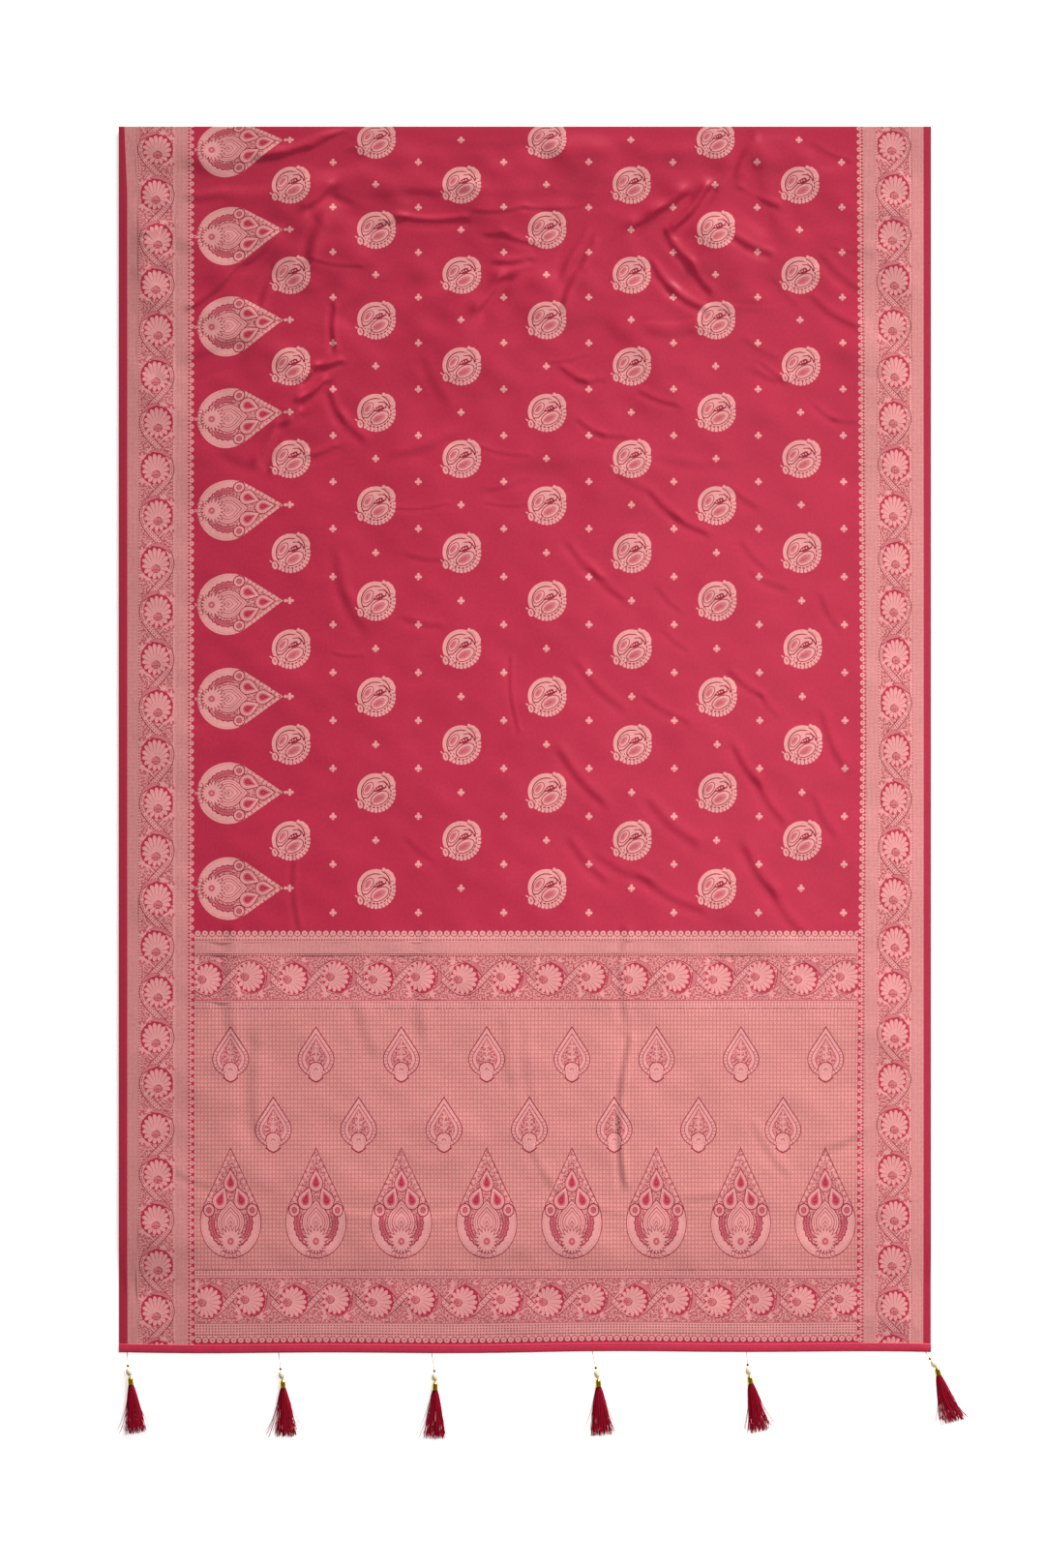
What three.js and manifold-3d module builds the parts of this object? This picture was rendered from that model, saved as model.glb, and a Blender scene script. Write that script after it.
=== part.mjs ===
// Satin silk saree laid flat: a straight fold at the top, the pallu end below with a turned hem and six tassels.
// The rest of the length is folded to and fro under the stretch that shows.
// Sheet coordinates in mm: x runs from the left selvedge to the right one, d runs down from the top fold.
import * as THREE from 'three';
import { mergeVertices } from 'three/addons/utils/BufferGeometryUtils.js';
import Module from 'manifold-3d';

const wasm = await Module();
wasm.setup();

// Driving sizes in mm
const CLOTH_WIDTH = 1120;
const SHOWN_LENGTH = 1690;
const HEM_WIDTH = 12;
const SEAM_GAP = 0.3;
const WALL = 1.0;
const GRID = 38;
const SELVEDGE = 11;

// The folded layers under the shown stretch
const LAYERS_HEIGHT = 3.1;
const LAYERS_START = 4;
const LAYERS_END = 1532;
const LAYERS_SLOPE = 70;
const CLOTH_REST = LAYERS_HEIGHT + SEAM_GAP;
const TURNED_LEG = 2.4;
const TURN_BOTTOM = 2.07;

const satin = new THREE.MeshStandardMaterial({ color: 0xb82f52, roughness: 0.45, metalness: 0 });
const hemSatin = new THREE.MeshStandardMaterial({ color: 0xa92c4b, roughness: 0.5, metalness: 0 });
const silk = new THREE.MeshStandardMaterial({ color: 0x7d0f22, roughness: 0.55, metalness: 0 });
const threadGold = new THREE.MeshStandardMaterial({ color: 0xa8925e, roughness: 0.5, metalness: 0.3 });
const brass = new THREE.MeshStandardMaterial({ color: 0xd8b04a, roughness: 0.25, metalness: 1 });
const pearl = new THREE.MeshStandardMaterial({ color: 0xefe6d8, roughness: 0.2, metalness: 0 });

// Main creases: from (x0, d0) to (x1, d1), half width across, and rise; a rise below 0 is a trough
const CREASES = [
  { x0: 255, d0: 322, x1: 312, d1: 352, half: 20, rise: 2.6 },
  { x0: 244, d0: 300, x1: 292, d1: 420, half: 26, rise: 1.6 },
  { x0: 372, d0: 124, x1: 470, d1: 133, half: 20, rise: 2.2 },
  { x0: 258, d0: 180, x1: 335, d1: 192, half: 18, rise: 1.8 },
  { x0: 480, d0: 112, x1: 600, d1: 102, half: 20, rise: 2.0 },
  { x0: 500, d0: 168, x1: 585, d1: 194, half: 24, rise: -1.2 },
  { x0: 185, d0: 40, x1: 248, d1: 62, half: 22, rise: 1.6 },
  { x0: 770, d0: 130, x1: 832, d1: 80, half: 20, rise: 2.4 },
  { x0: 740, d0: 160, x1: 812, d1: 228, half: 24, rise: 1.8 },
  { x0: 620, d0: 138, x1: 690, d1: 148, half: 18, rise: 1.6 },
  { x0: 960, d0: 78, x1: 1020, d1: 82, half: 18, rise: 1.6 },
  { x0: 600, d0: 570, x1: 700, d1: 662, half: 34, rise: 1.4 },
  { x0: 850, d0: 750, x1: 912, d1: 822, half: 30, rise: 1.2 },
  { x0: 610, d0: 862, x1: 680, d1: 932, half: 30, rise: 1.2 },
  { x0: 160, d0: 1210, x1: 196, d1: 1430, half: 24, rise: 1.8 },
  { x0: 322, d0: 1218, x1: 350, d1: 1300, half: 20, rise: 1.6 },
  { x0: 698, d0: 1120, x1: 708, d1: 1470, half: 24, rise: 2.0 },
  { x0: 530, d0: 1262, x1: 531, d1: 1346, half: 16, rise: 1.6 },
];

// The soft loft that the cloth has between its creases
const LOFT_RISE = 0.9;
const LOFT_LENGTHS = [310, 470, 190];
const EDGE_FADE = 70;

// Tassels: where each hangs on the hem, its thread's length, and the leans of thread, beads and skein in degrees
const TASSELS = [
  { x: 11.6, thread: 15.6, leanThread: 4, leanBeads: 12, leanSkein: 6 },
  { x: 220.5, thread: 19.6, leanThread: 7, leanBeads: 12, leanSkein: 3 },
  { x: 431.6, thread: 21.8, leanThread: 9, leanBeads: 4, leanSkein: -1 },
  { x: 653.0, thread: 20.4, leanThread: 12, leanBeads: 12, leanSkein: 4 },
  { x: 865.9, thread: 14.6, leanThread: 4, leanBeads: 8, leanSkein: 11 },
  { x: 1112.4, thread: 8.4, leanThread: 34, leanBeads: 38, leanSkein: 14 },
];
const THREAD_RADIUS = 0.5;
const BEAD_RADIUS = 2.1;
const BEAD_AXIS = 3.4;
const PEARL_RADIUS = 4.5;
const PEARL_LENGTH = 12;
const CAP_RADIUS = 4.4;
const CAP_LENGTH = 11.2;
const CAP_WALL = 0.7;
const CAP_MOUTH_DEPTH = 5;
const LIFT = 0.2;
const TASSEL_AXIS = PEARL_RADIUS + LIFT;
const HEAD_RADIUS = CAP_RADIUS - CAP_WALL - SEAM_GAP;
const SKEIN_LENGTH = 69;
const STRANDS = 32;
const STRAND_RADIUS = 0.44;
const SKEIN_HALF_WIDTH = 14;
const SKEIN_END_AXIS = 3.1;
const SKEIN_END_HALF_HEIGHT = 2.2;
const GOLDEN_ANGLE = Math.PI * (3 - Math.sqrt(5));

const radians = (degrees) => degrees * Math.PI / 180;

function smoothStep(low, high, value) {
  const t = Math.min(1, Math.max(0, (value - low) / (high - low)));
  return t * t * (3 - 2 * t);
}

// Height of one crease at (x, d): a soft ridge that fades at both ends
function creaseHeight(crease, x, d) {
  const alongX = crease.x1 - crease.x0;
  const alongD = crease.d1 - crease.d0;
  const length = Math.hypot(alongX, alongD);
  const along = ((x - crease.x0) * alongX + (d - crease.d0) * alongD) / length;
  const across = ((x - crease.x0) * alongD - (d - crease.d0) * alongX) / length;
  const past = Math.max(0, -along, along - length);
  return crease.rise * Math.exp(-((across / crease.half) ** 2) - ((past / (1.4 * crease.half)) ** 2));
}

// Height of the laid cloth above its flat rest: loft, creases, and nothing at the outer edges
function foldHeight(x, d) {
  const waves = Math.sin(x / LOFT_LENGTHS[0] * 2 * Math.PI + d / LOFT_LENGTHS[1] * 3)
    + Math.sin(d / LOFT_LENGTHS[1] * 2 * Math.PI - x / LOFT_LENGTHS[2]);
  let height = LOFT_RISE * (1 + waves / 2);
  for (const crease of CREASES) height += creaseHeight(crease, x, d);
  const edge = Math.min(x, CLOTH_WIDTH - x, d, SHOWN_LENGTH - HEM_WIDTH - d);
  return Math.max(0, height) * smoothStep(0, EDGE_FADE, edge);
}

// Height on which the cloth lies: the folded layers, then a gentle slope down to the floor
function restHeight(d) {
  return CLOTH_REST * (1 - smoothStep(LAYERS_END, LAYERS_END + LAYERS_SLOPE, d));
}

// The hem's outer edge, which waves a little
function hemLine(x) {
  return SHOWN_LENGTH + 1.1 * Math.sin(x / 178) + 0.8 * Math.sin(x / 61);
}

function place(x, d, z) {
  return [x - CLOTH_WIDTH / 2, -d, z];
}

function meshFrom(name, vertices, triangles, material) {
  const geometry = new THREE.BufferGeometry();
  geometry.setAttribute('position', new THREE.Float32BufferAttribute(vertices.flat(), 3));
  geometry.setIndex(triangles.flat());
  geometry.computeVertexNormals();
  const mesh = new THREE.Mesh(geometry, material);
  mesh.name = name;
  return mesh;
}

// Joins closed rings of equal length into a tube with flat ends; each ring turns left seen from the tube's end
function tubeThroughRings(rings) {
  const vertices = rings.flat();
  const count = rings[0].length;
  const triangles = [];
  for (let r = 0; r + 1 < rings.length; r++) {
    for (let k = 0; k < count; k++) {
      const a = r * count + k;
      const b = r * count + (k + 1) % count;
      triangles.push([a, b, b + count], [a, b + count, a + count]);
    }
  }
  return { vertices, triangles, count };
}

function fanEnds({ vertices, triangles, count }) {
  const last = vertices.length - count;
  for (let k = 1; k + 1 < count; k++) {
    triangles.push([0, k + 1, k], [last, last + k, last + k + 1]);
  }
  return { vertices, triangles };
}

// Positions across the cloth: one grid line marks each selvedge
function columnPlaces() {
  const inner = CLOTH_WIDTH - 2 * SELVEDGE;
  const steps = Math.round(inner / GRID);
  const places = [0];
  for (let i = 0; i <= steps; i++) places.push(SELVEDGE + inner * i / steps);
  places.push(CLOTH_WIDTH);
  return places;
}

// The wall's section at one column, from the pallu end to the tip turned under the top fold
function wallSection(x) {
  const outer = [];
  const inner = [];
  const end = hemLine(x) - HEM_WIDTH - SEAM_GAP;
  const rollCentre = (CLOTH_REST + WALL + TURN_BOTTOM) / 2;
  const rollOuter = CLOTH_REST + WALL - rollCentre;
  const rollInner = rollOuter - WALL;
  const rows = Math.round((end - rollOuter) / GRID);
  for (let j = rows; j >= 0; j--) {
    const d = rollOuter + (end - rollOuter) * j / rows;
    const z = restHeight(d) + foldHeight(x, d);
    outer.push(place(x, d, z + WALL));
    inner.push(place(x, d, z));
  }
  const arcSteps = 6;
  for (let k = 1; k <= arcSteps; k++) {
    const angle = Math.PI / 2 + Math.PI * k / arcSteps;
    const away = Math.cos(angle);
    const up = Math.sin(angle);
    outer.push(place(x, rollOuter + rollOuter * away, rollCentre + rollOuter * up));
    inner.push(place(x, rollOuter + rollInner * away, rollCentre + rollInner * up));
  }
  outer.push(place(x, rollOuter + TURNED_LEG, rollCentre - rollOuter));
  inner.push(place(x, rollOuter + TURNED_LEG, rollCentre - rollInner));
  return { outer, inner };
}

function shownStretch() {
  const sections = columnPlaces().map(wallSection);
  const rings = sections.map(({ outer, inner }) => [...inner, ...outer.reverse()]);
  const body = tubeThroughRings(rings);
  const half = body.count / 2;
  const last = body.vertices.length - body.count;
  for (let k = 0; k + 1 < half; k++) {
    const [a, b, c, e] = [k, k + 1, body.count - 2 - k, body.count - 1 - k];
    body.triangles.push([a, c, b], [a, e, c]);
    body.triangles.push([last + a, last + b, last + c], [last + a, last + c, last + e]);
  }
  return meshFrom('shown_stretch', body.vertices, body.triangles, satin);
}

// Levels of the folded layers from the floor up, with how far each edge draws in. The top edge has the second
// turn of the cloth low down and the shown stretch's own turn above it; the pallu edge has the turn between
// the upper two layers and the raw end of the lowest one.
const LAYER_LEVELS = [
  { z: 0, top: 1.1, pallu: 9.5, left: 5.2, right: 4.6 },
  { z: 0.3, top: 0.4, pallu: 9.0, left: 4.7, right: 4.1 },
  { z: 0.75, top: 0.2, pallu: 9.0, left: 4.7, right: 4.1 },
  { z: 0.95, top: 0.3, pallu: 9.5, left: 5.3, right: 4.8 },
  { z: 1.05, top: 0.5, pallu: 2.0, left: 3.6, right: 6.0 },
  { z: 1.25, top: 0.7, pallu: 0.8, left: 3.1, right: 5.5 },
  { z: 1.75, top: 1.2, pallu: 0.2, left: 3.1, right: 5.5 },
  { z: 1.77, top: 5.4, pallu: 0.1, left: 3.2, right: 5.6 },
  { z: 2.0, top: 5.2, pallu: 0.0, left: 3.7, right: 6.1 },
  { z: 2.1, top: 5.0, pallu: 0.0, left: 5.4, right: 4.0 },
  { z: 2.35, top: 5.0, pallu: 0.2, left: 4.9, right: 3.5 },
  { z: 2.8, top: 5.0, pallu: 0.8, left: 4.9, right: 3.5 },
  { z: LAYERS_HEIGHT, top: 5.3, pallu: 1.8, left: 5.4, right: 4.0 },
];

// One level's outline: straight sides that wander a little, with small round corners
function layerOutline({ z, top, pallu, left, right }) {
  const corner = 2.5;
  const sideSteps = 14;
  const endSteps = 9;
  const low = LAYERS_END - pallu;
  const high = LAYERS_START + top;
  const west = left;
  const east = CLOTH_WIDTH - right;
  const wander = (t, phase) => 0.5 * Math.sin(Math.PI * t) * Math.sin(9 * t + phase);
  const points = [];
  const side = (steps, at) => {
    for (let k = 0; k <= steps; k++) points.push(at(k / steps));
  };
  const turn = (x, d, startAngle) => {
    const angle = radians(startAngle + 45);
    points.push(place(x + corner * Math.cos(angle), d - corner * Math.sin(angle), z));
  };
  side(endSteps, (t) => place(west + corner + (east - west - 2 * corner) * t, low, z));
  turn(east - corner, low - corner, -90);
  side(sideSteps, (t) => place(east - wander(t, z), low - corner - (low - high - 2 * corner) * t, z));
  turn(east - corner, high + corner, 0);
  side(endSteps, (t) => place(east - corner - (east - west - 2 * corner) * t, high, z));
  turn(west + corner, high + corner, 90);
  side(sideSteps, (t) => place(west + wander(t, z + 2), high + corner + (low - high - 2 * corner) * t, z));
  turn(west + corner, low - corner, 180);
  return points;
}

function hiddenFoldedLayers() {
  const rings = LAYER_LEVELS.map(layerOutline);
  const body = tubeThroughRings(rings);
  const flat = rings[0].map(([x, y]) => new THREE.Vector2(x, y));
  const faces = THREE.ShapeUtils.triangulateShape(flat, []);
  const last = body.vertices.length - body.count;
  for (const [a, b, c] of faces) {
    body.triangles.push([a, c, b], [last + a, last + b, last + c]);
  }
  return meshFrom('hidden_folded_layers', body.vertices, body.triangles, satin);
}

// The turned hem: a flattened roll along the pallu end, gathered into a small bunch at its right corner
function palluHem() {
  const height = 2.3;
  const stations = 38;
  const rings = [];
  for (let k = 0; k <= stations; k++) {
    const x = CLOTH_WIDTH * k / stations;
    const bunch = 1 + 0.7 * smoothStep(CLOTH_WIDTH - 34, CLOTH_WIDTH - 6, x);
    const far = hemLine(x);
    const near = far - HEM_WIDTH;
    const top = height * bunch;
    const section = [
      [near, 0.4], [near + 1, 0], [far - 1.2, 0], [far - 0.2, 0.5 * top], [far - 0.9, 0.85 * top],
      [far - 3, top], [near + 2.5, 0.95 * top], [near + 0.7, 0.8 * top], [near, 0.55 * top],
    ];
    rings.push(section.map(([d, z]) => place(x, d, z)).reverse());
  }
  const { vertices, triangles } = fanEnds(tubeThroughRings(rings));
  return meshFrom('pallu_hem', vertices, triangles, hemSatin);
}

// A turned solid along a tassel's axis: points are [distance along, radius]
function turned(name, profile, segments, material) {
  const points = profile.map(([along, radius]) => new THREE.Vector2(radius, along));
  const geometry = new THREE.LatheGeometry(points, segments);
  const mesh = new THREE.Mesh(closed(geometry), material);
  mesh.name = name;
  return mesh;
}

// Drops the seam and pole copies of a turned form, so that it is one closed body
function closed(geometry) {
  geometry.deleteAttribute('normal');
  geometry.deleteAttribute('uv');
  const merged = mergeVertices(geometry, 1e-4);
  const index = merged.index.array;
  const kept = [];
  for (let k = 0; k < index.length; k += 3) {
    const [a, b, c] = [index[k], index[k + 1], index[k + 2]];
    if (a !== b && b !== c && c !== a) kept.push(a, b, c);
  }
  merged.setIndex(kept);
  merged.computeVertexNormals();
  return merged;
}

function solidFrom(geometry) {
  const positions = Float32Array.from(geometry.attributes.position.array);
  const triangles = Uint32Array.from(geometry.index.array);
  return new wasm.Manifold(new wasm.Mesh({ numProp: 3, vertProperties: positions, triVerts: triangles }));
}

function geometryFrom(solid) {
  const out = solid.getMesh();
  const geometry = new THREE.BufferGeometry();
  geometry.setAttribute('position', new THREE.Float32BufferAttribute(Array.from(out.vertProperties), 3));
  geometry.setIndex(Array.from(out.triVerts));
  geometry.computeVertexNormals();
  return geometry;
}

// Egg-shaped profile from one pole to the other
function eggProfile(length, radius, steps) {
  const points = [];
  for (let k = 0; k <= steps; k++) {
    const angle = Math.PI * k / steps;
    const onPole = k === 0 || k === steps;
    points.push([-length / 2 * Math.cos(angle), onPole ? 0 : radius * Math.sin(angle)]);
  }
  return points;
}

// Stands a piece whose axis is +Y along a direction in the plane, at a height
function lay(mesh, point, direction, height) {
  mesh.position.set(point.x, point.y, height);
  mesh.rotation.z = Math.atan2(-direction.x, direction.y);
  return mesh;
}

// Direction in the plane that leans from straight down towards the right
function leanDirection(degrees) {
  return new THREE.Vector2(Math.sin(radians(degrees)), -Math.cos(radians(degrees)));
}

// One tassel thread: a thin tube that rises from the hem to the bead's hole
function threadMesh(name, start, end) {
  const path = new THREE.LineCurve3(start, end);
  const corners = [0, 1, 2, 3, 4, 5].map((k) => radians(60 * k));
  const section = new THREE.Shape(corners.map((angle) => new THREE.Vector2(
    THREAD_RADIUS * Math.cos(angle), THREAD_RADIUS * Math.sin(angle))));
  const options = { extrudePath: path, steps: 2, bevelEnabled: false };
  const mesh = new THREE.Mesh(new THREE.ExtrudeGeometry(section, options), threadGold);
  mesh.name = name;
  return mesh;
}

// One strand: a three-sided tapering lock from its root in the head to its tip near the floor
function strandGeometry(index, fan) {
  const share = (index + 0.5) / STRANDS;
  const angle = index * GOLDEN_ANGLE;
  const out = Math.sqrt(share);
  const rootRadius = HEAD_RADIUS - 0.75;
  const across = out * Math.cos(angle);
  const up = out * Math.sin(angle);
  const length = SKEIN_LENGTH * (0.93 + 0.07 * Math.sin(index * 2.3));
  const stations = [
    { along: -1.5, side: across * rootRadius, z: TASSEL_AXIS + up * rootRadius, radius: STRAND_RADIUS },
    { along: length * 0.5, side: across * SKEIN_HALF_WIDTH * 0.62 + fan * 0.25,
      z: (TASSEL_AXIS + SKEIN_END_AXIS) / 2 + up * (rootRadius + 0.3), radius: STRAND_RADIUS },
    { along: length, side: across * SKEIN_HALF_WIDTH + fan * share,
      z: SKEIN_END_AXIS + up * SKEIN_END_HALF_HEIGHT, radius: STRAND_RADIUS * 0.7 },
  ];
  const rings = stations.map(({ along, side, z, radius }) => [0, 1, 2].map((corner) => {
    const turn = Math.PI / 2 - 2 * Math.PI * corner / 3;
    return [side + radius * Math.cos(turn), along, z + radius * Math.sin(turn)];
  }));
  const { vertices, triangles } = fanEnds(tubeThroughRings(rings));
  const geometry = new THREE.BufferGeometry();
  geometry.setAttribute('position', new THREE.Float32BufferAttribute(vertices.flat(), 3));
  geometry.setIndex(triangles.flat());
  return geometry;
}

// The skein: strands that stand apart, with their roots fused in the bound head inside the cap
function skeinMesh(name, fan) {
  const headProfile = [[-CAP_MOUTH_DEPTH + SEAM_GAP, 0], [-CAP_MOUTH_DEPTH + SEAM_GAP, HEAD_RADIUS],
    [0.3, HEAD_RADIUS], [0.3, 0]];
  const head = turned('head', headProfile, 12, silk);
  head.geometry.translate(0, 0, TASSEL_AXIS);
  let solid = solidFrom(head.geometry);
  for (let k = 0; k < STRANDS; k++) solid = solid.add(solidFrom(strandGeometry(k, fan)));
  const mesh = new THREE.Mesh(geometryFrom(solid), silk);
  mesh.name = name;
  return mesh;
}

function tassel(number, { x, thread, leanThread, leanBeads, leanSkein }) {
  const name = `tassel_${number}`;
  const group = new THREE.Group();
  const [startX, startY] = place(x, hemLine(x), 0);
  const down = leanDirection(leanThread);
  const link = leanDirection(leanBeads);
  const fall = leanDirection(leanSkein);
  const hemPoint = new THREE.Vector2(startX, startY);
  const threadStart = hemPoint.clone().addScaledVector(down, SEAM_GAP + 0.2);
  const threadEnd = hemPoint.clone().addScaledVector(down, thread);
  const bead = threadEnd.clone().addScaledVector(down, SEAM_GAP + BEAD_RADIUS);
  const pearlAt = bead.clone().addScaledVector(link, BEAD_RADIUS + SEAM_GAP + PEARL_LENGTH / 2);
  const capTop = pearlAt.clone().addScaledVector(link, PEARL_LENGTH / 2 + SEAM_GAP);
  const mouth = capTop.clone().addScaledVector(fall, CAP_LENGTH);
  const startHeight = 1.1;
  group.add(threadMesh(`${name}_thread`,
    new THREE.Vector3(threadStart.x, threadStart.y, startHeight),
    new THREE.Vector3(threadEnd.x, threadEnd.y, BEAD_AXIS)));
  const beadProfile = eggProfile(2 * BEAD_RADIUS, BEAD_RADIUS, 5);
  group.add(lay(turned(`${name}_bead`, beadProfile, 8, brass), bead, link, BEAD_AXIS));
  const pearlProfile = eggProfile(PEARL_LENGTH, PEARL_RADIUS, 6);
  group.add(lay(turned(`${name}_pearl`, pearlProfile, 10, pearl), pearlAt, link, TASSEL_AXIS));
  const inner = CAP_RADIUS - CAP_WALL;
  const floor = CAP_LENGTH - CAP_MOUTH_DEPTH;
  const capProfile = [[0, 0], [0.5, 1.9], [1.9, 3.3], [4, 4.1], [CAP_LENGTH, CAP_RADIUS],
    [CAP_LENGTH, inner], [floor, inner], [floor, 0]];
  group.add(lay(turned(`${name}_cap`, capProfile, 12, brass), capTop, fall, TASSEL_AXIS));
  const fan = number === TASSELS.length ? 9 : 0;
  const skein = skeinMesh(`${name}_skein`, fan);
  skein.position.set(mouth.x, mouth.y, 0);
  skein.rotation.z = Math.atan2(-fall.x, fall.y);
  group.add(skein);
  return group;
}

const saree = new THREE.Group();
saree.add(shownStretch());
saree.add(hiddenFoldedLayers());
saree.add(palluHem());
TASSELS.forEach((row, index) => saree.add(tassel(index + 1, row)));

// The origin is under the middle of the whole saree, on the surface it lies on
const box = new THREE.Box3().setFromObject(saree);
const centre = box.getCenter(new THREE.Vector3());
saree.position.set(-centre.x, -centre.y, -box.min.z);
saree.updateMatrixWorld(true);

export default saree;
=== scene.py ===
# %% [markdown]
# Satin silk saree, laid out flat. The cloth is one long woven length: crimson satin with paisley sprigs,
# two figured side borders and a figured end, the pallu, with six tassels sewn to its hem. The packed
# model is loaded first. It gives the frame that every piece below is made in, and it stays fixed.
# %% Load the frame
import math
import bpy
import bmesh
import numpy as np
from mathutils import Matrix, Vector
from mathutils.geometry import delaunay_2d_cdt


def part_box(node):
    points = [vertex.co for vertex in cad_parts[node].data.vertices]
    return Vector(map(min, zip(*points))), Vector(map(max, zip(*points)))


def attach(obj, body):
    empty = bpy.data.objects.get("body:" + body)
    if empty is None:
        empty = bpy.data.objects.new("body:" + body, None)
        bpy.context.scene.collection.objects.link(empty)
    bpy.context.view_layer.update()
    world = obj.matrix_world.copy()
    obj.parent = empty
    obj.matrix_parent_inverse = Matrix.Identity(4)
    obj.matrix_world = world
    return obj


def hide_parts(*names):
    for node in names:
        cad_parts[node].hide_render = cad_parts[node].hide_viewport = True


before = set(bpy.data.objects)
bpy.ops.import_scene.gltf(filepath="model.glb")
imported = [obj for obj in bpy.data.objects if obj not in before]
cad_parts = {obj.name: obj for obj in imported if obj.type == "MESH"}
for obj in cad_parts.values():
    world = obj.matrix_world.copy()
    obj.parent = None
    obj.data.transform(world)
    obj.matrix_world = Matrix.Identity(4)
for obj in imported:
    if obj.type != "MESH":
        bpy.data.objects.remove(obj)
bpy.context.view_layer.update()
MM = 0.001

# %% [markdown]
# The cloth is measured in its own plane: x from the left selvedge and d down from the top fold, in
# millimetres. Working in the maker's sizes keeps every number readable, and one function turns them into
# metres at the end.
# %% The cloth's own sizes
CLOTH_WIDTH = 1120.0
SHOWN_LENGTH = 1690.0
HEM_WIDTH = 12.0
CLOTH_REST = 3.4
WALL = 1.0
LAYERS_END, LAYERS_SLOPE = 1532.0, 70.0
TURN_BOTTOM = 2.07
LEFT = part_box("shown_stretch")[0].x / MM
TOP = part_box("shown_stretch")[1].y / MM


def smooth_step(low, high, value):
    t = np.clip((value - low) / (high - low), 0, 1)
    return t * t * (3 - 2 * t)


def hem_line(x):
    return SHOWN_LENGTH + 1.1 * np.sin(x / 178) + 0.8 * np.sin(x / 61)


def rest_height(d):
    return CLOTH_REST * (1 - smooth_step(LAYERS_END, LAYERS_END + LAYERS_SLOPE, d))


def to_world(x, d, z):
    return np.stack([(LEFT + x) * MM, (TOP - d) * MM, z * MM], axis=-1)


def new_object(name, data):
    thing = bpy.data.objects.new(name, data)
    bpy.context.collection.objects.link(thing)
    return thing


def belongs(piece, node=None):
    """The piece rides the saree's one body and takes the place of its solid."""
    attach(piece, "root")
    if node:
        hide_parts(node)


def vertex_places(mesh):
    co = np.zeros(len(mesh.vertices) * 3)
    mesh.vertices.foreach_get("co", co)
    return co.reshape(-1, 3)


# %% [markdown]
# A camera looks straight down, as when a cloth is laid out to be seen. A long lens keeps the edges
# straight.
# %% Camera
FRAME_HEIGHT = 2161.0
AIM = (556.7, 906.3)  # x and d of the picture's middle
LENS, SENSOR = 85.0, 36.0
camera_data = bpy.data.cameras.new("overhead_camera")
camera_data.lens = LENS
camera_data.sensor_width = SENSOR
camera = new_object("overhead_camera", camera_data)
distance = FRAME_HEIGHT * LENS / SENSOR
camera.location = to_world(*AIM, distance + CLOTH_REST)
bpy.context.scene.camera = camera
print("camera height", round(camera.location.z, 3))

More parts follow.
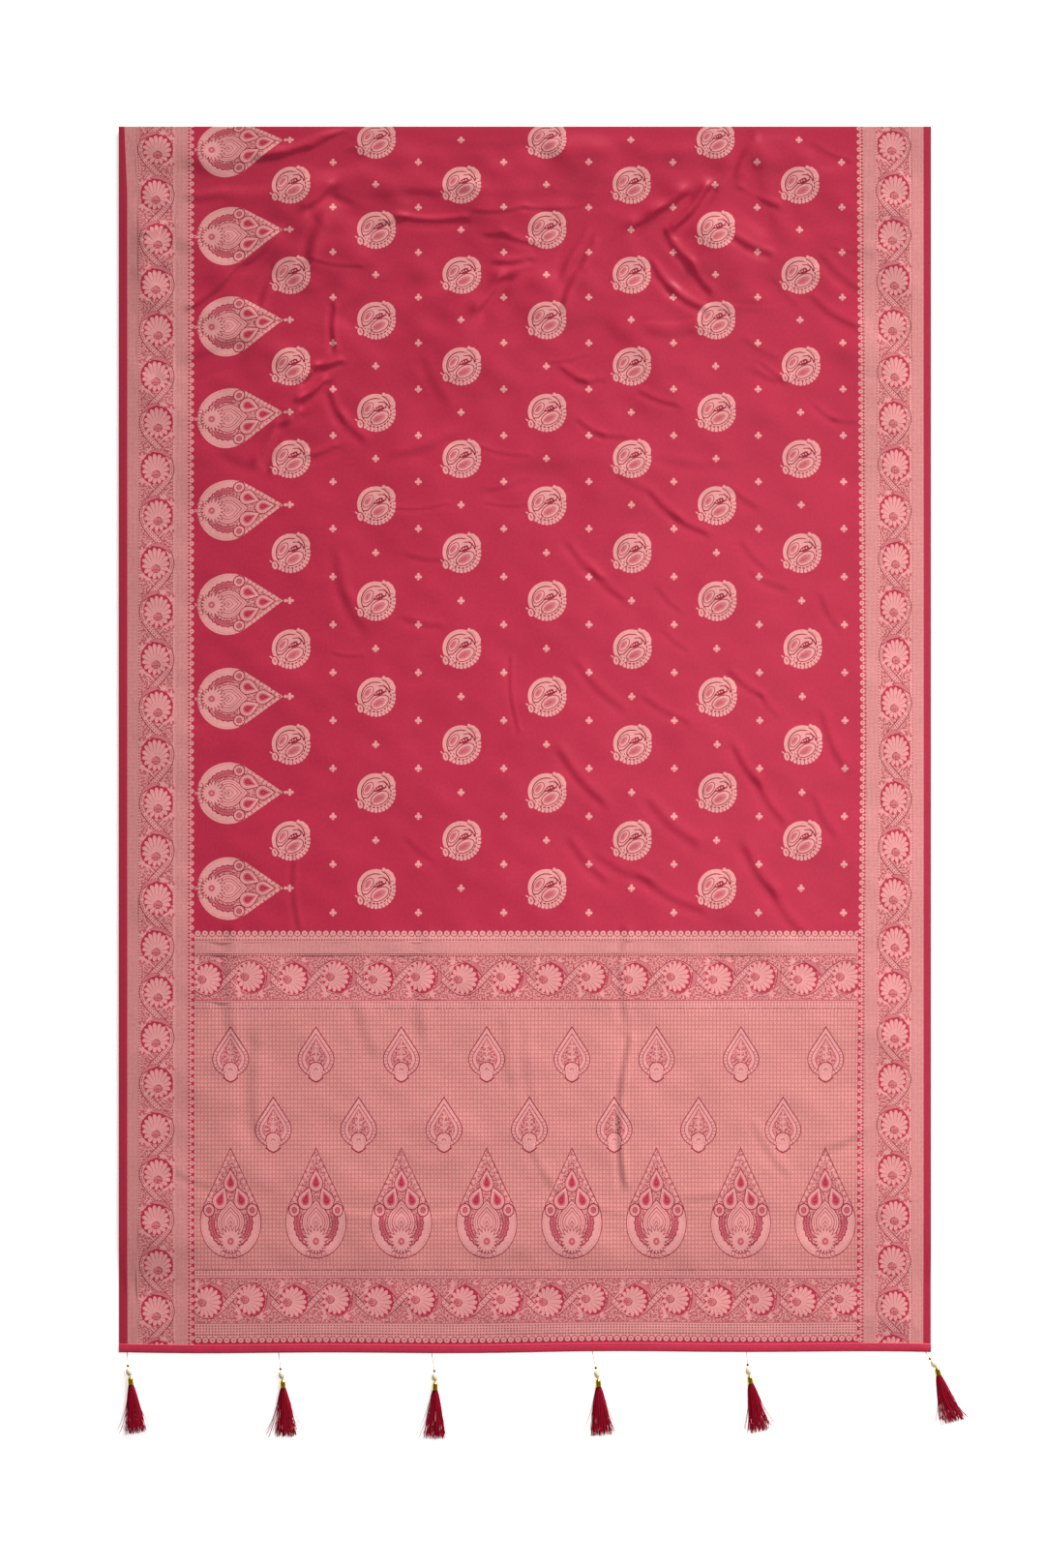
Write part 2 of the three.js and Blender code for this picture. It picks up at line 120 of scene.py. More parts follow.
# %% [markdown]
# Laid cloth keeps creases where hands have pulled it. Each one here is a stroke: where it runs, how wide
# its dark slope is, and how steep. The cloth rises gently on both sides of a stroke and drops across it,
# which is how a crease in satin looks: one dark line between two bright ones. A crease that runs along the
# light has to be steeper to show as much. All strokes add up to one height function, so the sheet, its
# borders and the pallu stay joined over every crease.
# %% Folds
FOLDS = [  # x0, d0, x1, d1, half width of the dark slope, steepness
    (200, 46, 306, 10, 6.5, 0.5), (268, 34, 316, 18, 4.5, 0.34), (104, 250, 166, 192, 5, 0.3),
    (170, 195, 225, 145, 4, 0.16), (100, 100, 140, 96, 6, 0.16), (262, 112, 292, 86, 5.5, 0.28),
    (300, 94, 400, 88, 7, 0.06), (400, 92, 475, 84, 7, 0.15), (480, 88, 600, 92, 8, 0.07),
    (600, 92, 690, 96, 8, 0.06), (368, 134, 392, 128, 4, 0.3), (386, 127, 474, 129, 4.6, 0.52),
    (495, 118, 560, 112, 3, 0.18), (560, 113, 655, 106, 3, 0.18), (508, 150, 530, 149, 4, 0.21),
    (530, 150, 570, 162, 4, 0.26), (522, 188, 566, 184, 4.5, 0.34), (500, 250, 528, 212, 7, 0.27),
    (528, 212, 560, 196, 5, 0.21), (612, 200, 638, 150, 6, 0.19), (714, 138, 744, 120, 7, 0.34),
    (742, 122, 776, 98, 8, 0.4), (770, 140, 812, 88, 5.6, 0.56), (752, 146, 786, 190, 5.2, 0.36),
    (786, 190, 812, 226, 5, 0.3), (736, 192, 762, 226, 5, 0.32), (762, 226, 804, 252, 5, 0.36),
    (852, 156, 894, 176, 5, 0.34), (858, 88, 905, 110, 4.6, 0.34), (852, 60, 872, 20, 6, 0.22),
    (962, 28, 1004, 48, 4, 0.19), (972, 184, 1014, 222, 6, 0.21), (958, 240, 1014, 276, 6, 0.21),
    (985, 168, 1015, 174, 3, 0.14), (596, 326, 645, 316, 3, 0.17), (612, 336, 640, 352, 5, 0.3),
    (636, 352, 664, 350, 4, 0.21), (722, 368, 766, 384, 4, 0.21), (636, 408, 664, 425, 4, 0.18),
    (664, 425, 694, 428, 4, 0.18), (962, 388, 986, 405, 4, 0.18), (986, 405, 1016, 408, 4, 0.13),
    (254, 350, 274, 334, 4.5, 0.36), (274, 333, 304, 326, 4, 0.4), (240, 394, 254, 378, 5, 0.3),
    (252, 378, 284, 354, 4.5, 0.38), (222, 412, 250, 398, 5, 0.21), (292, 372, 306, 402, 5, 0.21),
    (306, 402, 332, 428, 6, 0.21), (264, 456, 298, 444, 5, 0.25), (196, 458, 220, 420, 6, 0.21),
    (296, 250, 297, 305, 4, 0.21), (262, 178, 276, 135, 7, 0.19), (380, 527, 452, 521, 2.5, 0.15),
    (508, 520, 562, 522, 2.5, 0.13), (512, 502, 556, 488, 4, 0.11), (498, 442, 562, 454, 3, 0.14),
    (735, 508, 770, 540, 5, 0.2), (768, 540, 806, 560, 5, 0.23), (848, 504, 874, 522, 5, 0.17),
    (268, 184, 330, 193, 3, 0.16), (850, 247, 918, 243, 3, -0.1), (728, 270, 795, 267, 3, -0.09),
    (735, 284, 785, 283, 7, 0.11), (392, 452, 452, 430, 7, 0.13), (888, 328, 915, 348, 4, 0.17),
    (688, 478, 722, 500, 6, 0.1), (752, 460, 830, 466, 7, 0.09), (150, 455, 190, 470, 7, 0.09),
    (300, 598, 312, 650, 7, 0.1), (312, 650, 335, 690, 7, 0.1), (402, 592, 445, 598, 4, 0.13),
    (398, 680, 440, 688, 5, 0.13), (622, 580, 655, 615, 5, 0.15), (652, 612, 692, 650, 5, 0.15),
    (640, 610, 668, 624, 4, 0.13), (862, 578, 890, 610, 5, 0.11), (878, 620, 915, 636, 5, 0.15),
    (745, 640, 770, 665, 4, 0.1), (968, 650, 990, 690, 5, 0.13), (755, 700, 780, 720, 4, 0.1),
    (300, 728, 332, 730, 3, 0.14), (635, 745, 690, 800, 6, 0.13), (728, 790, 778, 818, 5, 0.13),
    (845, 755, 885, 785, 5, 0.17), (885, 785, 905, 810, 4, 0.1), (610, 865, 665, 930, 6, 0.17),
    (850, 860, 880, 905, 6, 0.2), (880, 905, 912, 955, 6, 0.17), (970, 815, 1000, 885, 6, 0.15),
    (960, 930, 985, 975, 6, 0.13), (735, 935, 790, 985, 7, 0.15), (625, 990, 665, 1035, 6, 0.15),
    (665, 1010, 730, 1040, 6, 0.13), (720, 1035, 800, 1080, 6, 0.15), (865, 1000, 900, 1055, 7, 0.2),
    (900, 1055, 940, 1110, 7, 0.15), (400, 985, 430, 1010, 5, 0.09), (540, 735, 550, 830, 3, 0.11),
    (243, 1000, 247, 1100, 4, 0.1), (140, 84, 330, 54, 13, -0.14), (350, 62, 520, 66, 13, -0.04),
    (470, 205, 410, 238, 13, -0.09), (722, 176, 798, 236, 11, -0.08), (765, 62, 805, 70, 12, -0.1),
    (850, 112, 884, 130, 11, -0.08), (110, 320, 150, 300, 12, 0.13), (560, 470, 640, 462, 14, 0.06),
    (880, 60, 900, 130, 12, 0.11), (320, 250, 360, 215, 12, 0.11), (1027, 349, 1064, 349, 3, -0.09),
    (1027, 463, 1064, 463, 3, -0.09), (40, 150, 72, 138, 4, 0.19), (36, 330, 70, 350, 4, 0.14),
    (153, 1113, 158, 1267, 9, 0.08), (187, 1267, 190, 1387, 10, 0.08), (330, 1220, 347, 1267, 9, 0.07),
    (420, 1120, 417, 1253, 9, 0.06), (533, 1247, 540, 1313, 9, 0.06), (560, 1253, 570, 1340, 8, 0.05),
    (697, 1113, 698, 1226, 6, 0.11), (703, 1260, 695, 1453, 5, 0.2), (310, 1493, 477, 1493, 7, -0.08),
    (570, 1413, 603, 1467, 6, 0.09), (650, 1487, 690, 1500, 6, 0.08), (784, 1477, 824, 1473, 6, 0.08),
    (877, 1380, 917, 1440, 6, 0.1), (76, 1440, 130, 1463, 6, 0.09), (984, 1407, 1024, 1387, 6, 0.09),
    (612, 246, 634, 194, 5, 0.24), (640, 190, 652, 160, 5, 0.18), (300, 96, 318, 104, 5, 0.16),
    (196, 245, 214, 200, 5, 0.16), (106, 345, 134, 332, 4, 0.16), (208, 470, 222, 436, 4, 0.22),
    (424, 330, 446, 372, 7, 0.09), (868, 300, 900, 318, 6, 0.16), (880, 340, 912, 352, 5, 0.2),
    (440, 20, 560, 22, 6, 0.05), (905, 215, 930, 245, 5, 0.12), (640, 40, 690, 30, 8, 0.06),
]
TOWARD_LIGHT = (0.5, -0.87)
LEAST_LIT = 0.45
LOFT_RISE, SOFT_FLOOR, FLAT_FLOOR = 1.5, 1.1, 0.5
LOFT_FADE, EDGE_FADE = 42.0, 13.0
CALM_WAVES, CRUMPLED_WAVES, CRUMPLED_TO = 0.6, 1.6, (150, 520)
FOLD_REACH, FOLD_BOW, FOLD_TAPER = 5, 0.05, 1.8
WAVES = [  # wavelength, direction in degrees, phase, height: the broad, uneven lie of the cloth
    (260, 20, 0.3, 0.80), (210, 75, 1.9, 0.70), (170, 130, 4.1, 0.60), (150, 48, 2.2, 0.45),
    (130, 160, 5.0, 0.40), (115, 100, 0.9, 0.33), (96, 35, 3.3, 0.28), (84, 145, 1.2, 0.22),
    (72, 62, 5.7, 0.19), (63, 118, 2.8, 0.17), (55, 8, 0.7, 0.17), (49, 97, 2.9, 0.16),
    (43, 141, 4.6, 0.14), (38, 66, 1.1, 0.11), (34, 121, 3.9, 0.09),
    (30, 29, 5.3, 0.07), (27, 84, 0.2, 0.055),
]


def fold_height(x, d):
    """Height of the laid cloth above its rest, in mm."""
    height = np.zeros_like(x)
    for length, degrees, phase, rise in WAVES:
        turn = math.radians(degrees)
        height += rise * np.sin(2 * np.pi / length * (x * math.cos(turn) + d * math.sin(turn)) + phase)
    crumple = 1 - smooth_step(*CRUMPLED_TO, d)
    height = LOFT_RISE + height * (CALM_WAVES + (CRUMPLED_WAVES - CALM_WAVES) * crumple)
    edge = np.minimum(np.minimum(x, CLOTH_WIDTH - x), np.minimum(d, SHOWN_LENGTH - HEM_WIDTH - d))
    height = 0.5 * (height + np.sqrt(height ** 2 + SOFT_FLOOR ** 2)) * smooth_step(0, LOFT_FADE, edge)
    near_edge = smooth_step(0, EDGE_FADE, edge)
    for x0, d0, x1, d1, width, steep in FOLDS:
        length = math.hypot(x1 - x0, d1 - d0)
        along_x, along_d = (x1 - x0) / length, (d1 - d0) / length
        away_x, away_d = along_d, -along_x
        lit = away_x * TOWARD_LIGHT[0] + away_d * TOWARD_LIGHT[1]
        if lit > 0:
            away_x, away_d = -away_x, -away_d
        reach = FOLD_REACH * width
        box = (x > min(x0, x1) - reach) & (x < max(x0, x1) + reach)
        box &= (d > min(d0, d1) - reach) & (d < max(d0, d1) + reach)
        here = np.nonzero(box)
        px, pd = x[here] - x0, d[here] - d0
        along = px * along_x + pd * along_d
        bow = FOLD_BOW * length * np.sin(np.pi * np.clip(along / length, 0, 1))
        across = px * away_x + pd * away_d - bow
        past = np.maximum(0, np.maximum(-along, along - length))
        taper = np.exp(-(past / (FOLD_TAPER * width)) ** 2)
        slope = steep / max(LEAST_LIT, abs(lit)) * near_edge[here]
        height[here] -= slope * across * np.exp(-0.5 * (across / width) ** 2) * taper
    return 0.5 * (height + np.sqrt(height ** 2 + FLAT_FLOOR ** 2)) * smooth_step(0, EDGE_FADE / 2, edge)


def cloth_height(x, d):
    return rest_height(d) + WALL + fold_height(x, d)


print("folds", len(FOLDS))

# %% [markdown]
# A loom draws in cells: so many warp threads across, so many picks down. The pattern is laid out in such
# cells, and a short list of stations says where they came to lie, because the finished cloth has
# stretched a little here and drawn in a little there.
# %% From the weaver's plan to the laid cloth
CELL_S, CELL_U = 5.881, 6.0
FIELD_LEFT, FIELD_CELLS = 104.5, 156
FIELD_RIGHT = FIELD_LEFT + CELL_S * FIELD_CELLS
BORDER_WIDTH = 104.5
PLAN_WIDTH = FIELD_RIGHT + BORDER_WIDTH
PALLU_START, PLAN_ROWS = 189, 289
S_STATIONS = [0, FIELD_RIGHT, *(PLAN_WIDTH - inset for inset in (97.8, 76.4, 29.1, 12.1)), PLAN_WIDTH]
X_STATIONS = [0, FIELD_RIGHT, 1028.6, 1049.0, 1092.3, 1109.7, CLOTH_WIDTH]
V_STATIONS = [0, 3.5, 47.5, 91.5, 135.5, 179.5, 189, 289]
ROLL = (CLOTH_REST + WALL - TURN_BOTTOM) / 2
D_STATIONS = [ROLL, 18.5, 266.7, 521.5, 785.6, 1049.7, 1107.8, 1678.0]
PULL_D, PULL_X = [0, 450, 845, 1107, 1400, 1690], [-5.2, -2.5, 0, -2.6, -4.1, -4.1]
DRAWN_IN, PROBE = 4.0, 0.8


def lay_out(s, u):
    """Plan position (s across, u down, mm) to laid position (x, d, height) and the way the cloth faces."""
    d = np.interp(u / CELL_U, V_STATIONS, D_STATIONS)
    x = np.interp(s, S_STATIONS, X_STATIONS)
    pulled = smooth_step(560, FIELD_RIGHT, s) * (1 - smooth_step(1040, PLAN_WIDTH, s))
    x = x + np.interp(d, PULL_D, PULL_X) * pulled
    drawn_in = DRAWN_IN * (1 - smooth_step(0, 70, d))
    x = x - drawn_in * smooth_step(0, 12, s) * (1 - smooth_step(12, 80, s))
    d = d + smooth_step(1560, 1678, d) * (hem_line(x) - SHOWN_LENGTH)
    height = cloth_height(x, d)
    slope_x = (cloth_height(x + PROBE, d) - cloth_height(x - PROBE, d)) / (2 * PROBE)
    slope_d = (cloth_height(x, d + PROBE) - cloth_height(x, d - PROBE)) / (2 * PROBE)
    facing = np.stack([-slope_x, slope_d, np.ones_like(x)], axis=-1)
    rolled = u < 0
    turn = np.minimum(-u[rolled] / ROLL, np.pi)
    d[rolled] = ROLL - ROLL * np.sin(turn) + np.maximum(0, -u[rolled] - np.pi * ROLL)
    height[rolled] = TURN_BOTTOM + ROLL + ROLL * np.cos(turn)
    facing[rolled] = np.stack([0 * turn, np.sin(turn), np.cos(turn)], axis=-1)
    facing /= np.linalg.norm(facing, axis=-1, keepdims=True)
    return x, d, height, facing


# %% [markdown]
# Shader maths reads best as a plain expression. One small class wraps a socket, so that `1 - mask` or `a
# * b` adds its Math node by itself, and `add` makes any other node: its values or links first, then its
# settings. The same two helpers build the Geometry Nodes trees.
# %% Node helpers
class Wire:
    def __init__(self, net, socket):
        self.net, self.socket = net, socket

    def math(self, operation, other=0.0, swap=False):
        pair = (other, self) if swap else (self, other)
        return self.net.add("ShaderNodeMath", {0: pair[0], 1: pair[1]}, operation=operation)

    def __add__(self, other):
        return self.math("ADD", other)

    def __radd__(self, other):
        return self.math("ADD", other, True)

    def __sub__(self, other):
        return self.math("SUBTRACT", other)

    def __rsub__(self, other):
        return self.math("SUBTRACT", other, True)

    def __mul__(self, other):
        return self.math("MULTIPLY", other)

    def __rmul__(self, other):
        return self.math("MULTIPLY", other, True)

    def __truediv__(self, other):
        return self.math("DIVIDE", other)

    def __gt__(self, other):
        return self.math("GREATER_THAN", other)

    def sin(self):
        return self.math("SINE")

    def fract(self):
        return self.math("FRACT")


class Net:
    def __init__(self, tree):
        self.tree = tree

    def add(self, kind, values=None, out=0, **settings):
        node = self.tree.nodes.new(kind)
        for name, value in settings.items():
            setattr(node, name, value)
        for name, value in (values or {}).items():
            if isinstance(value, Wire):
                self.tree.links.new(value.socket, node.inputs[name])
            else:
                node.inputs[name].default_value = value
        return Wire(self, node.outputs[out] if node.outputs else None)

    def feed(self, links, constants):
        """Links wires to the shader's inputs and sets its constants."""
        for name, wire in links.items():
            self.tree.links.new(wire.socket, self.shader.inputs[name])
        for name, value in constants.items():
            self.shader.inputs[name].default_value = value

    def blend(self, factor, a, b, kind="MIX"):
        a = a if isinstance(a, Wire) else (*a, 1)
        b = b if isinstance(b, Wire) else (*b, 1)
        return self.add("ShaderNodeMix", {0: factor, 6: a, 7: b}, 2, data_type="RGBA", blend_type=kind)


def new_material(name):
    material = bpy.data.materials.new(name)
    material.use_nodes = True
    net = Net(material.node_tree)
    net.shader = material.node_tree.nodes["Principled BSDF"]
    return material, net


def srgb(*card):
    """Linear colour of a dye as it is named on a colour card, 0 to 255."""
    shares = [value / 255 for value in card]
    return tuple(c / 12.92 if c <= 0.04045 else ((c + 0.055) / 1.055) ** 2.4 for c in shares)


# %% [markdown]
# Every thread kind is a material of its own: the satin ground, the thick zari figure, the half-covered
# blush figure, the rose fill, the deep outline, the all-over bands and the filigree. They share one
# recipe. Satin floats run along the length, so its slubs and sheen are drawn long; the bands have their
# own small repeat. Each pattern reads the `weave` attribute, which holds the plan position in mm, so the
# threads bend with the cloth.
# %% Woven materials
GROUND_DYE = srgb(178, 37, 65)
ZARI_DYE = srgb(218, 148, 145)
BAND_DYE = srgb(222, 151, 147)
FILIGREE_DYE = srgb(216, 142, 139)
ROSE_DYE = srgb(188, 88, 98)
DEEP_DYE = srgb(136, 26, 48)
WEAVE_PITCH = 0.9
CHECK_PITCH = 4.95


def plan_position(net):
    place = net.add("ShaderNodeAttribute", {}, 1, attribute_name="weave")
    parts = net.add("ShaderNodeSeparateXYZ", {0: place})
    return place, parts, Wire(net, parts.socket.node.outputs[1])


def noise(net, place, stretch, scale, detail=2.0):
    scaled = net.add("ShaderNodeVectorMath", {0: place, 1: stretch}, operation="MULTIPLY")
    return net.add("ShaderNodeTexNoise", {"Vector": scaled, "Scale": scale, "Detail": detail})


def plain(net, place, s, u):
    return None


def diaper(net, place, s, u):
    pitch = 3.5
    return ((s + u) * (2 * math.pi / pitch)).sin() * ((s - u) * (2 * math.pi / pitch)).sin() > 0.1


def checked(net, place, s, u):
    across = (s / CHECK_PITCH).fract() > 0.66
    down = (u / CELL_U).fract() > 0.72
    return across + (1 - across) * down


def dotted(net, place, s, u):
    return ((s / 4.2).fract() > 0.5) * ((u / 4.0).fract() > 0.5)


def filigree(net, place, s, u):
    return noise(net, place, (0.42, 0.38, 1), 1.0, 1.0) > 0.51


def woven(name, face, back, pattern, share, roughness, lustre, relief):
    """face and back are the two thread colours, share how much of the back shows where the pattern is."""
    material, net = new_material(name)
    place, s, u = plan_position(net)
    slub = noise(net, place, (0.5, 0.035, 1), 1.0, 3.0)
    cloud = noise(net, place, (0.012, 0.012, 1), 1.0, 2.0)
    mottle = noise(net, place, (0.32, 0.2, 1), 1.0, 2.0)
    grain = noise(net, place, (0.9, 0.55, 1), 1.0, 1.0)
    colour = net.blend(slub * 0.16, face, back)
    mask = pattern(net, place, s, u)
    if mask is not None:
        colour = net.blend(mask * share, colour, back)
    tone = slub * 0.10 + cloud * 0.16 + mottle * 0.36 + grain * 0.30 + 0.54
    grey = net.add("ShaderNodeCombineColor", {0: tone, 1: tone, 2: tone})
    colour = net.blend(1.0, colour, grey, "MULTIPLY")
    rib = ((s + u * 0.5) * (2 * math.pi / WEAVE_PITCH)).sin() * 0.5 + 0.5
    height = rib * 0.4 + slub * 0.6 if mask is None else rib * 0.3 + slub * 0.4 + mask * 0.4
    bump = net.add("ShaderNodeBump", {"Strength": relief, "Distance": 0.00015, "Height": height})
    rough = grain * 0.10 + (roughness - 0.05)
    net.feed({"Base Color": colour, "Roughness": rough, "Normal": bump},
             {"Specular IOR Level": lustre, "Sheen Weight": 0.10, "Sheen Roughness": 0.4})
    return material


THREADS = ["ground", "zari", "blush", "rose", "deep", "selvedge", "diaper", "check", "dotted", "filigree"]
WEAVES = {
    "ground": woven("crimson_satin", GROUND_DYE, DEEP_DYE, plain, 0, 0.44, 0.42, 0.25),
    "zari": woven("pale_zari", ZARI_DYE, ROSE_DYE, plain, 0, 0.50, 0.35, 0.5),
    "blush": woven("half_zari", srgb(202, 114, 118), DEEP_DYE, dotted, 0.25, 0.50, 0.35, 0.5),
    "rose": woven("rose_fill", ROSE_DYE, GROUND_DYE, plain, 0, 0.48, 0.35, 0.4),
    "deep": woven("deep_outline", DEEP_DYE, GROUND_DYE, plain, 0, 0.5, 0.35, 0.3),
    "selvedge": woven("selvedge_satin", srgb(170, 36, 60), DEEP_DYE, plain, 0, 0.46, 0.40, 0.3),
    "diaper": woven("diaper_band", BAND_DYE, DEEP_DYE, diaper, 0.55, 0.50, 0.35, 0.5),
    "check": woven("checked_ground", srgb(216, 147, 140), srgb(168, 62, 76), checked, 0.52, 0.50, 0.35, 0.5),
    "dotted": woven("dotted_band", BAND_DYE, DEEP_DYE, dotted, 0.75, 0.50, 0.35, 0.5),
    "filigree": woven("filigree_fill", FILIGREE_DYE, srgb(146, 30, 52), filigree, 0.72, 0.50, 0.35, 0.5),
}
print("woven materials", len(WEAVES))

# %% [markdown]
# A drawing is a list of (thread kind, outline) pairs, painted in order like cut paper: later shapes lie
# on earlier ones. These helpers make the outlines a border designer uses: rounds, pointed petals, drops,
# and ribbons that follow a line. Y points up the cloth.
# %% Drawing helpers
def turned(points, degrees, at=(0.0, 0.0), scale=(1.0, 1.0)):
    c, s = math.cos(math.radians(degrees)), math.sin(math.radians(degrees))
    out = []
    for px, py in points:
        px, py = px * scale[0], py * scale[1]
        out.append((px * c - py * s + at[0], px * s + py * c + at[1]))
    return out


def moved(drawing, degrees=0.0, at=(0.0, 0.0), scale=(1.0, 1.0)):
    return [(kind, turned(points, degrees, at, scale)) for kind, points in drawing]


def disc(x, y, rx, ry=None, turn=0.0, count=14):
    ry = rx if ry is None else ry
    angles = [2 * math.pi * k / count for k in range(count)]
    return turned([(rx * math.cos(a), ry * math.sin(a)) for a in angles], turn, (x, y))


def petal(x, y, degrees, length, width):
    half = width / 2
    side = [(0.3 * length, 0.8 * half), (0.6 * length, half), (0.85 * length, 0.55 * half)]
    points = [(0, 0), *((px, -py) for px, py in side), (length, 0), *side[::-1]]
    return turned(points, degrees, (x, y))


def drop(x, y, radius, tip, degrees=0.0, count=18, squash=1.0):
    """A round body whose sides run straight to a tip, `tip` from the centre."""
    start = math.acos(radius / tip)
    points = [(tip, 0.0)]
    for k in range(count + 1):
        a = start + (2 * math.pi - 2 * start) * k / count
        points.append((radius * math.cos(a), radius * squash * math.sin(a)))
    return turned(points, degrees, (x, y))


def arc(x, y, radius, start, end, count, wave=0.0, waves=0):
    points = []
    for k in range(count + 1):
        a = math.radians(start + (end - start) * k / count)
        r = radius + wave * math.sin(2 * math.pi * waves * k / count)
        points.append((x + r * math.cos(a), y + r * math.sin(a)))
    return points


def ribbon(path, width, taper=0.0):
    """A strip along a path; taper 1 draws both ends out to points."""
    left, right = [], []
    last = len(path) - 1
    for k, (px, py) in enumerate(path):
        ax, ay = path[max(0, k - 1)]
        bx, by = path[min(last, k + 1)]
        length = math.hypot(bx - ax, by - ay) or 1.0
        nx, ny = -(by - ay) / length, (bx - ax) / length
        half = width / 2 * (1 - taper * (abs(2 * k / last - 1)) ** 3)
        left.append((px + nx * half, py + ny * half))
        right.append((px - nx * half, py - ny * half))
    return left + right[::-1]


def ray(x, y, inner, outer, degrees, width):
    """A short stroke that points away from (x, y)."""
    return ribbon([arc(x, y, reach, degrees, degrees, 1)[0] for reach in (inner, outer)], width)


def beads(kind, path, radius, count=6):
    return [(kind, disc(px, py, radius, count=count)) for px, py in path]


# %% [markdown]
# The field's main sprig is the mango, or paisley: a thick crescent curls over a small scene of two drops,
# and a scalloped fringe closes the round. It is drawn here from circles, drops and ribbons in real
# millimetres.
# %% The paisley sprig
def paisley():
    art = []
    for a in range(-138, 32, 12):
        px, py = arc(0.4, -0.8, 24.7, a, a, 1)[0]
        art.append(("zari", disc(px, py, 2.9, count=8)))
    art += [("zari", disc(0, -0.6, 24.4, 24.6, count=34)),
            ("zari", ribbon(arc(0.2, 0.2, 22.8, 32, 208, 26), 6.4, 0.25))]
    for a in range(-132, 32, 12):
        art.append(("deep", ray(0.4, -0.8, 22.8, 26.2, a, 1.0)))
    art += [("zari", disc(-0.2, -0.4, 19.6, 19.6, count=26)),
            ("deep", ribbon(arc(-0.2, 0.2, 19.4, 12, 214, 22), 1.5)),
            ("deep", disc(-10.4, 5.0, 10.4, 6.2, 54, 16)), ("zari", disc(-10.4, 5.0, 9.4, 5.2, 54, 16)),
            ("blush", disc(-11.0, 5.2, 6.8, 3.2, 54, 12)), ("rose", disc(-11.8, 5.2, 4.6, 1.9, 55, 8)),
            ("zari", ribbon([(15.4, 13.0), (12.0, 17.0), (5.0, 17.6), (-2.0, 16.4)], 2.0, 0.6)),
            ("deep", ribbon([(15.2, 9.4), (13.4, 12.8), (9.0, 14.6), (3.4, 14.0)], 1.3)),
            ("deep", ribbon([(15.0, 7.6), (8.4, 3.2), (-1.6, 2.0), (-6.8, -3.4), (-11.4, -8.0), (-17, -8.4)],
                            1.5)),
            ("deep", petal(-4.4, 1.0, 24, 21, 8.0))]
    art += beads("zari", [(0.4, 3.8), (3.4, 5.4), (6.8, 6.4)], 1.3, 5) + beads("zari", [(11.4, 9.0)], 2.1, 7)
    art += [("deep", disc(5.6, -8.2, 14.4, 9.0, 30, 20)), ("zari", disc(5.6, -8.2, 13.2, 7.8, 30, 20)),
            ("blush", disc(4.6, -8.6, 9.8, 5.0, 30, 14)), ("rose", disc(3.2, -9.2, 6.4, 2.8, 28, 9))]
    for k in range(10):
        a = -118 + 15 * k
        art.append(("deep", ribbon(arc(0.2, -0.6, 20.8, a, a + 10, 2), 1.6)))
    art += [("zari", ribbon([(10.4, 25.6), (16.4, 23.8), (21.6, 19.2), (25, 12.4), (26, 5.5)], 5.2, 0.7)),
            ("zari", disc(11.0, 25.8, 2.4, count=8)),
            ("deep", ribbon([(8.4, 23.4), (13.6, 20.2), (17.6, 15.4), (20.2, 8.4)], 1.5)),
            ("zari", ribbon([(-28.4, -9.8), (-24, -13.2)], 1.6)),
            ("deep", disc(-21.0, -16.4, 6.6, 4.6, 104, 12)),
            ("zari", disc(-21.4, -16.8, 5.8, 3.8, 104, 12)), ("rose", disc(-21.2, -16.6, 2.8, 1.3, 104, 6))]
    for row in range(3):
        for k in range(5):
            px, py = -15.5 + 4.8 * k - 1.4 * row, -12.4 - 3.6 * row - 2.0 * k * (0.55 if k < 3 else 0.8)
            if math.hypot(px, py) < 24.6 and not (row == 0 and k > 2):
                art.append(("deep", ribbon([(px, py + 1.3), (px + 1.5, py - 1.1)], 1.1)))
    return art


# %% [markdown]
# Between the sprigs sit small trefoils, and down the left border stand large pointed drops: a lotus at
# the base, arch within arch above it, three ringed drops, and a trefoil at the tip. The pallu repeats the
# same drop upright, which is why it is one function with its colours passed in.
# %% Trefoil, tall drop and small leaf
def trefoil(kind="zari"):
    art = [(kind, disc(0, 0, 2.5, count=8))]
    for degrees, reach in ((90, 3.1), (190, 3.0), (-10, 3.0)):
        art.append((kind, disc(*turned([(reach, 0)], degrees)[0], 2.1, count=8)))
    art += [(kind, ribbon([(0, 0), (0.3, -3), (-0.4, -5.4)], 1.6)),
            (kind, ribbon([(-2.4, -3.9), (0, -3.0), (2.2, -3.9)], 1.0))]
    return art


def rosette(x, y, radius):
    art = [("deep", disc(x, y, radius * 1.2, count=12)), ("zari", disc(x, y, radius, count=12))]
    art += beads("rose", arc(x, y, 0.78 * radius, 0, 324, 9), 0.1 * radius, 4)
    art += [("deep", disc(x, y, 0.56 * radius, count=9)), ("rose", disc(x, y, 0.45 * radius, count=8))]
    return art


def ringed_drop(x, y, radius, degrees):
    """A beaded pale ring round a crimson heart; radius is that of its round end."""
    art = [("deep", drop(x, y, radius * 1.12, radius * 2.0, degrees, 14))]
    art.append(("zari", drop(x, y, radius, radius * 1.78, degrees, 14)))
    ring = arc(0, 0, radius * 0.83, 52, 308, 13)
    art += beads("rose", turned(ring, degrees, (x, y)), 0.08 * radius, 4)
    art += [("rose", drop(x, y, 0.6 * radius, radius * 1.26, degrees, 10)),
            ("ground", drop(x, y, 0.36 * radius, radius * 0.9, degrees, 8))]
    art += beads("rose", turned([(radius * 0.1, 0)], degrees, (x, y)), 0.12 * radius, 4)
    return art


def arch(size):
    return drop(43.0, 0, size, size * 1.38, 0, 16)


